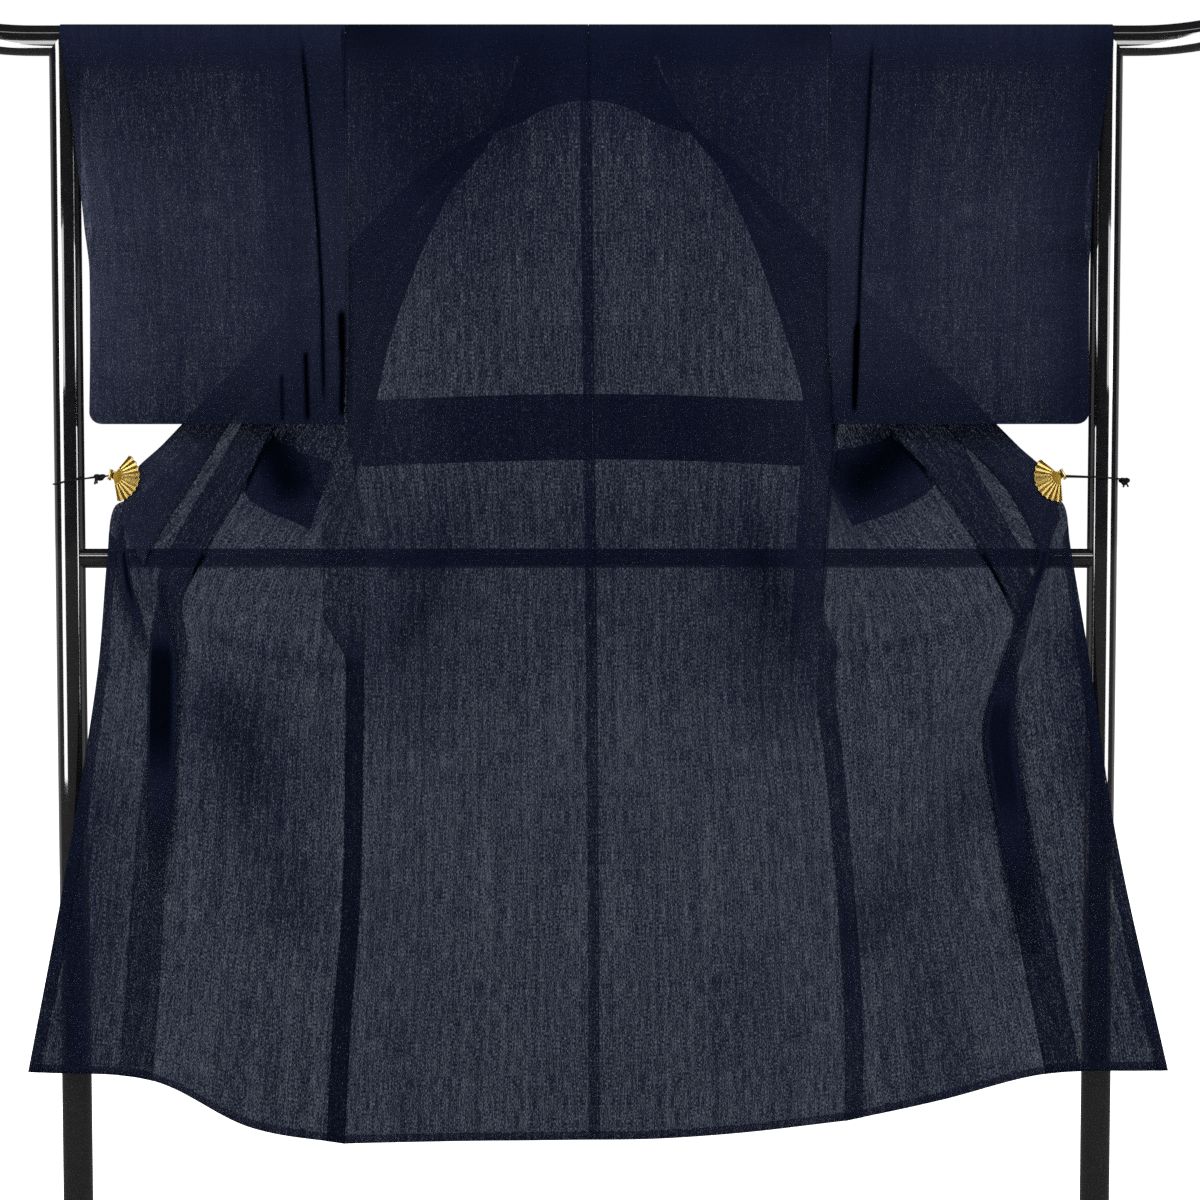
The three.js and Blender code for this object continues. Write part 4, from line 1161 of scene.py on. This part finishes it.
def fanLeaf(spec):
    # the pleated leaf, from the hub to its scalloped edge
    rows = []
    for i in range(clips["pleats"] * 4 + 1):
        share = i / (clips["pleats"] * 4)
        wave = 1 - 4 * abs((share * clips["pleats"]) % 1 - 0.5)
        reach = clips["reach"] + clips["scallop"] * wave / 2
        degrees = spec["from"] + (spec["to"] - spec["from"]) * share
        rows.append([fanPoint(spec, degrees, clips["hub"] + (reach - clips["hub"]) * t,
                              clips["y"] + clips["pleatDepth"] * wave * (0.3 + 0.7 * t))
                     for t in np.linspace(0, 1, 6)])
    return np.array(rows)


def fanHub(spec):
    rings = [(clips["hub"] * t, clips["y"] - clips["dome"] * (1 - t * t))
             for t in np.linspace(0.02, 1, 8)]
    return np.array([[fanPoint(spec, degrees, radius, y) for radius, y in rings]
                     for degrees in np.linspace(spec["from"], spec["to"], 31)])


def tube(path, radius, sides=8, capped=True):
    # corners and faces of a round wire
    path = np.array(path, float)
    radius = np.broadcast_to(np.asarray(radius, float), (len(path),))
    ahead = np.gradient(path, axis=0)
    ahead /= np.linalg.norm(ahead, axis=1, keepdims=True)
    guide = np.array([0.0, 1.0, 0.0] if np.abs(ahead[:, 1]).max() < 0.95 else [0.0, 0.0, 1.0])
    first = np.cross(ahead, guide)
    first /= np.linalg.norm(first, axis=1, keepdims=True)
    second = np.cross(ahead, first)
    turns = np.arange(sides) * 2 * math.pi / sides
    rings = [path + radius[:, None] * (first * math.cos(turn) + second * math.sin(turn))
             for turn in turns]
    corners = np.stack(rings, axis=1).reshape(-1, 3)
    faces = []
    for i in range(len(path) - 1):
        for k in range(sides):
            a, b = i * sides + k, i * sides + (k + 1) % sides
            faces.append((a, b, b + sides, a + sides))
    last = (len(path) - 1) * sides
    if capped:
        faces.append(tuple(reversed(range(sides))))
        faces.append(tuple(range(last, last + sides)))
    return corners, faces


def makeWires(name, wires, finish):
    corners, faces = [], []
    for path, radius, sides in wires:
        places, around = tube(path, radius, sides)
        faces += [tuple(n + len(corners) for n in face) for face in around]
        corners += places.tolist()
    mesh = bpy.data.meshes.new(name)
    mesh.from_pydata(corners, [], faces)
    return showPiece(name, mesh, finish)


def makeFan(name):
    spec = clips[name]
    leaf, hub = fanLeaf(spec), fanHub(spec)
    flat = [[(0.0, 0.0)] * leaf.shape[1]] * len(leaf)
    hubFlat = [[(0.0, 0.0)] * hub.shape[1]] * len(hub)
    patches = [patch(leaf, "metal", flat, lifted=False),
               patch(hub, "metal", hubFlat, dark=1.0, lifted=False)]
    fan = makeCloth(name + "_fan", patches, gold, clips["leaf"])
    fan.data.shade_flat()
    angles = np.linspace(spec["from"], spec["to"], 41)
    rim = [fanPoint(spec, degrees, clips["hub"], clips["y"] - clips["rimOut"])
           for degrees in angles]
    radius, length, out = clips["barrel"]
    middle = math.radians((spec["from"] + spec["to"]) / 2)
    centre = np.array([spec["x"] - out * math.cos(middle), clips["barrelY"],
                       spec["z"] - out * math.sin(middle)])
    side = np.array([-math.sin(middle), 0.0, math.cos(middle)]) * length / 2
    shares = np.array([-1, -0.97, -0.8, -0.78, -0.3, 0.3, 0.78, 0.8, 0.97, 1])
    widths = radius * np.array([0.75, 1, 1, 0.78, 0.78, 0.78, 0.78, 1, 1, 0.75])
    wires = [(rim, clips["rimWire"], 8), ([row[-1] for row in leaf], clips["edgeWire"], 6),
             (leaf[0], clips["edgeWire"], 6), (leaf[-1], clips["edgeWire"], 6),
             ([centre + side * t for t in shares], widths, 16)]
    frameWires = makeWires(name + "_fan_frame", wires, gold)
    for piece in (fan, frameWires):
        standIn(piece, "clip_fan_" + name)


# the ties: each cord's route round its post, and its knot
ties = {
    "cord": 0.0011,
    "reach": 0.0204,  # from the middle of the post to the middle of the cord
    "postX": 0.673,
    "startOut": 0.0037,
    "y": -0.0132,
    "drop": 0.0015,
    "steps": 11,
    "knotThickness": 1.7,  # in cords
    "knotDepth": 0.0021,
    "left": {"farZ": 1.060, "from": 83, "to": 312, "end": (-0.636, -0.013), "farEnd": "knot",
             "knot": (-0.630, -0.0140, 1.0690), "spread": (0.0023, 0.0010),
             "tails": [((-0.0050, 0.0, 0.0), (-0.0065, -0.001, -0.0095)),
                       ((-0.0030, 0.0, 0.0), (-0.0035, -0.002, -0.0085))]},
    "right": {"farZ": 1.067, "from": 83, "to": 300, "end": (0.6179, -0.0086), "farEnd": "object",
              "knot": (0.7010, 0.0, 1.0640), "spread": (0.0020, 0.0013),
              "tails": [((0.002, 0.0, 0.0), (0.0050, -0.001, -0.0075)),
                        ((0.0, 0.0, 0.0), (-0.0015, -0.002, -0.0080))]},
}


def tieRoute(name):
    spec, place = ties[name], clips[name]
    sign = halves[name]["sign"]
    knots = [np.array([place["x"] + sign * ties["startOut"], ties["y"], place["z"]])]
    for degrees in np.linspace(spec["from"], spec["to"], ties["steps"] + 1):
        turn = math.radians(degrees)
        far = min(1.4 * (1 - abs(degrees - 180) / 180), 1)
        knots.append(np.array([sign * (ties["postX"] - ties["reach"] * math.cos(turn)),
                               -ties["reach"] * math.sin(turn),
                               place["z"] + (spec["farZ"] - place["z"]) * far]))
    knots.append(np.array([*spec["end"], place["z"] - ties["drop"]]))
    return bend(knots, np.linspace(0, 1, 8 * len(knots)))


def makeTie(name):
    route, spec = tieRoute(name), ties[name]
    curve = bpy.data.curves.new(name + "_tie", "CURVE")
    curve.dimensions = "3D"
    spline = curve.splines.new("POLY")
    spline.points.add(len(route) - 1)
    for point, place in zip(spline.points, route):
        point.co = (*place, 1.0)
    curve.bevel_depth = ties["cord"]
    curve.bevel_resolution = 2
    curve.use_fill_caps = True
    curve.materials.append(cordBlack)
    cord = bpy.data.objects.new(name + "_tie", curve)
    bpy.context.collection.objects.link(cord)
    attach(cord, "root")
    centre, (wide, high) = np.array(spec["knot"]), spec["spread"]
    loop = [centre + (wide * (math.sin(t) + 2 * math.sin(2 * t)),
                      -ties["knotDepth"] * math.sin(3 * t),
                      high * (math.cos(t) - 2 * math.cos(2 * t)))
            for t in np.linspace(0.05, 2 * math.pi - 0.05, 90)]
    shares = (0.0, 0.35, 0.7, 0.85, 0.97, 1.0)
    tails = [[centre + np.array(start) + (np.array(end) - start) * t for t in shares]
             for start, end in spec["tails"]]
    thick = ties["cord"] * np.array([1.0, 1.0, 1.0, 1.25, 1.1, 0.6])
    wires = [(loop, ties["cord"] * ties["knotThickness"], 8)] + [(tail, thick, 8) for tail in tails]
    knot = makeWires(name + "_tie_knot", wires, cordBlack)
    for piece in (cord, knot):
        standIn(piece, "tie_" + name)


for name in halves:
    makeFan(name)
    makeTie(name)
print("clips and ties ready")


rack = {
    "barHeight": 1.631,
    "barHalf": 0.850,
    "bendStart": 0.711,
    "bendRadius": 0.500,
    "tube": 0.019,
    "postX": 0.673,
    "postFoot": 0.0303,
    "crossHeight": 0.9635,
    "cross": 0.0127,
    "gap": 0.0003,
    "inset": 0.0195,  # of a tube's last full ring from the middle of the tube it meets
    "sides": 64,
}


def barPoint(x):
    past = max(abs(x) - rack["bendStart"], 0)
    return (x, 0.0, rack["barHeight"] + past * past / (2 * rack["bendRadius"]))


def makeTube(node, path, radius, trim=None):
    # a round tube, its ends cut to the tube that they meet
    corners, faces = tube(path, radius, rack["sides"], capped=False)
    if trim:
        saddle = np.sqrt(np.maximum(rack["tube"] ** 2 - corners[:, 1] ** 2, 0)) + rack["gap"]
        corners = trim(corners, saddle)
    mesh = bpy.data.meshes.new(node + "_tube")
    mesh.from_pydata(corners.tolist(), [], faces)
    standIn(showPiece(node + "_tube", mesh, gloss), node)


def underBar(corners, saddle):
    corners[:, 2] = np.minimum(corners[:, 2], rack["barHeight"] - saddle)
    return corners


def betweenPosts(corners, saddle):
    corners[:, 0] = np.clip(corners[:, 0], saddle - rack["postX"], rack["postX"] - saddle)
    return corners


for name, half in halves.items():
    x, top = half["sign"] * rack["postX"], rack["barHeight"]
    heights = list(np.linspace(rack["postFoot"], top - rack["inset"], 60)) + [top]
    makeTube("post_" + name, [(x, 0.0, z) for z in heights], rack["tube"], underBar)
barRoute = [barPoint(x) for x in np.linspace(-rack["barHalf"], rack["barHalf"], 121)]
makeTube("top_bar", barRoute, rack["tube"])
inside = rack["postX"] - rack["inset"]
crossing = [-rack["postX"]] + list(np.linspace(-inside, inside, 60)) + [rack["postX"]]
makeTube("cross_bar", [(x, 0.0, rack["crossHeight"]) for x in crossing], rack["cross"],
         betweenPosts)


def dress(node, finish):
    # a CAD piece that keeps its own mesh
    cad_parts[node].data.materials.clear()
    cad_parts[node].data.materials.append(finish)


for name in halves:
    for node in ("end_cap_", "foot_", "socket_"):
        dress(node + name, gloss)
    for node in ("clip_jaw_", "clip_pin_"):
        dress(node + name, gold)
    for end in ("_front", "_back"):
        dress("pad_" + name + end, rubber)
print("rack ready")
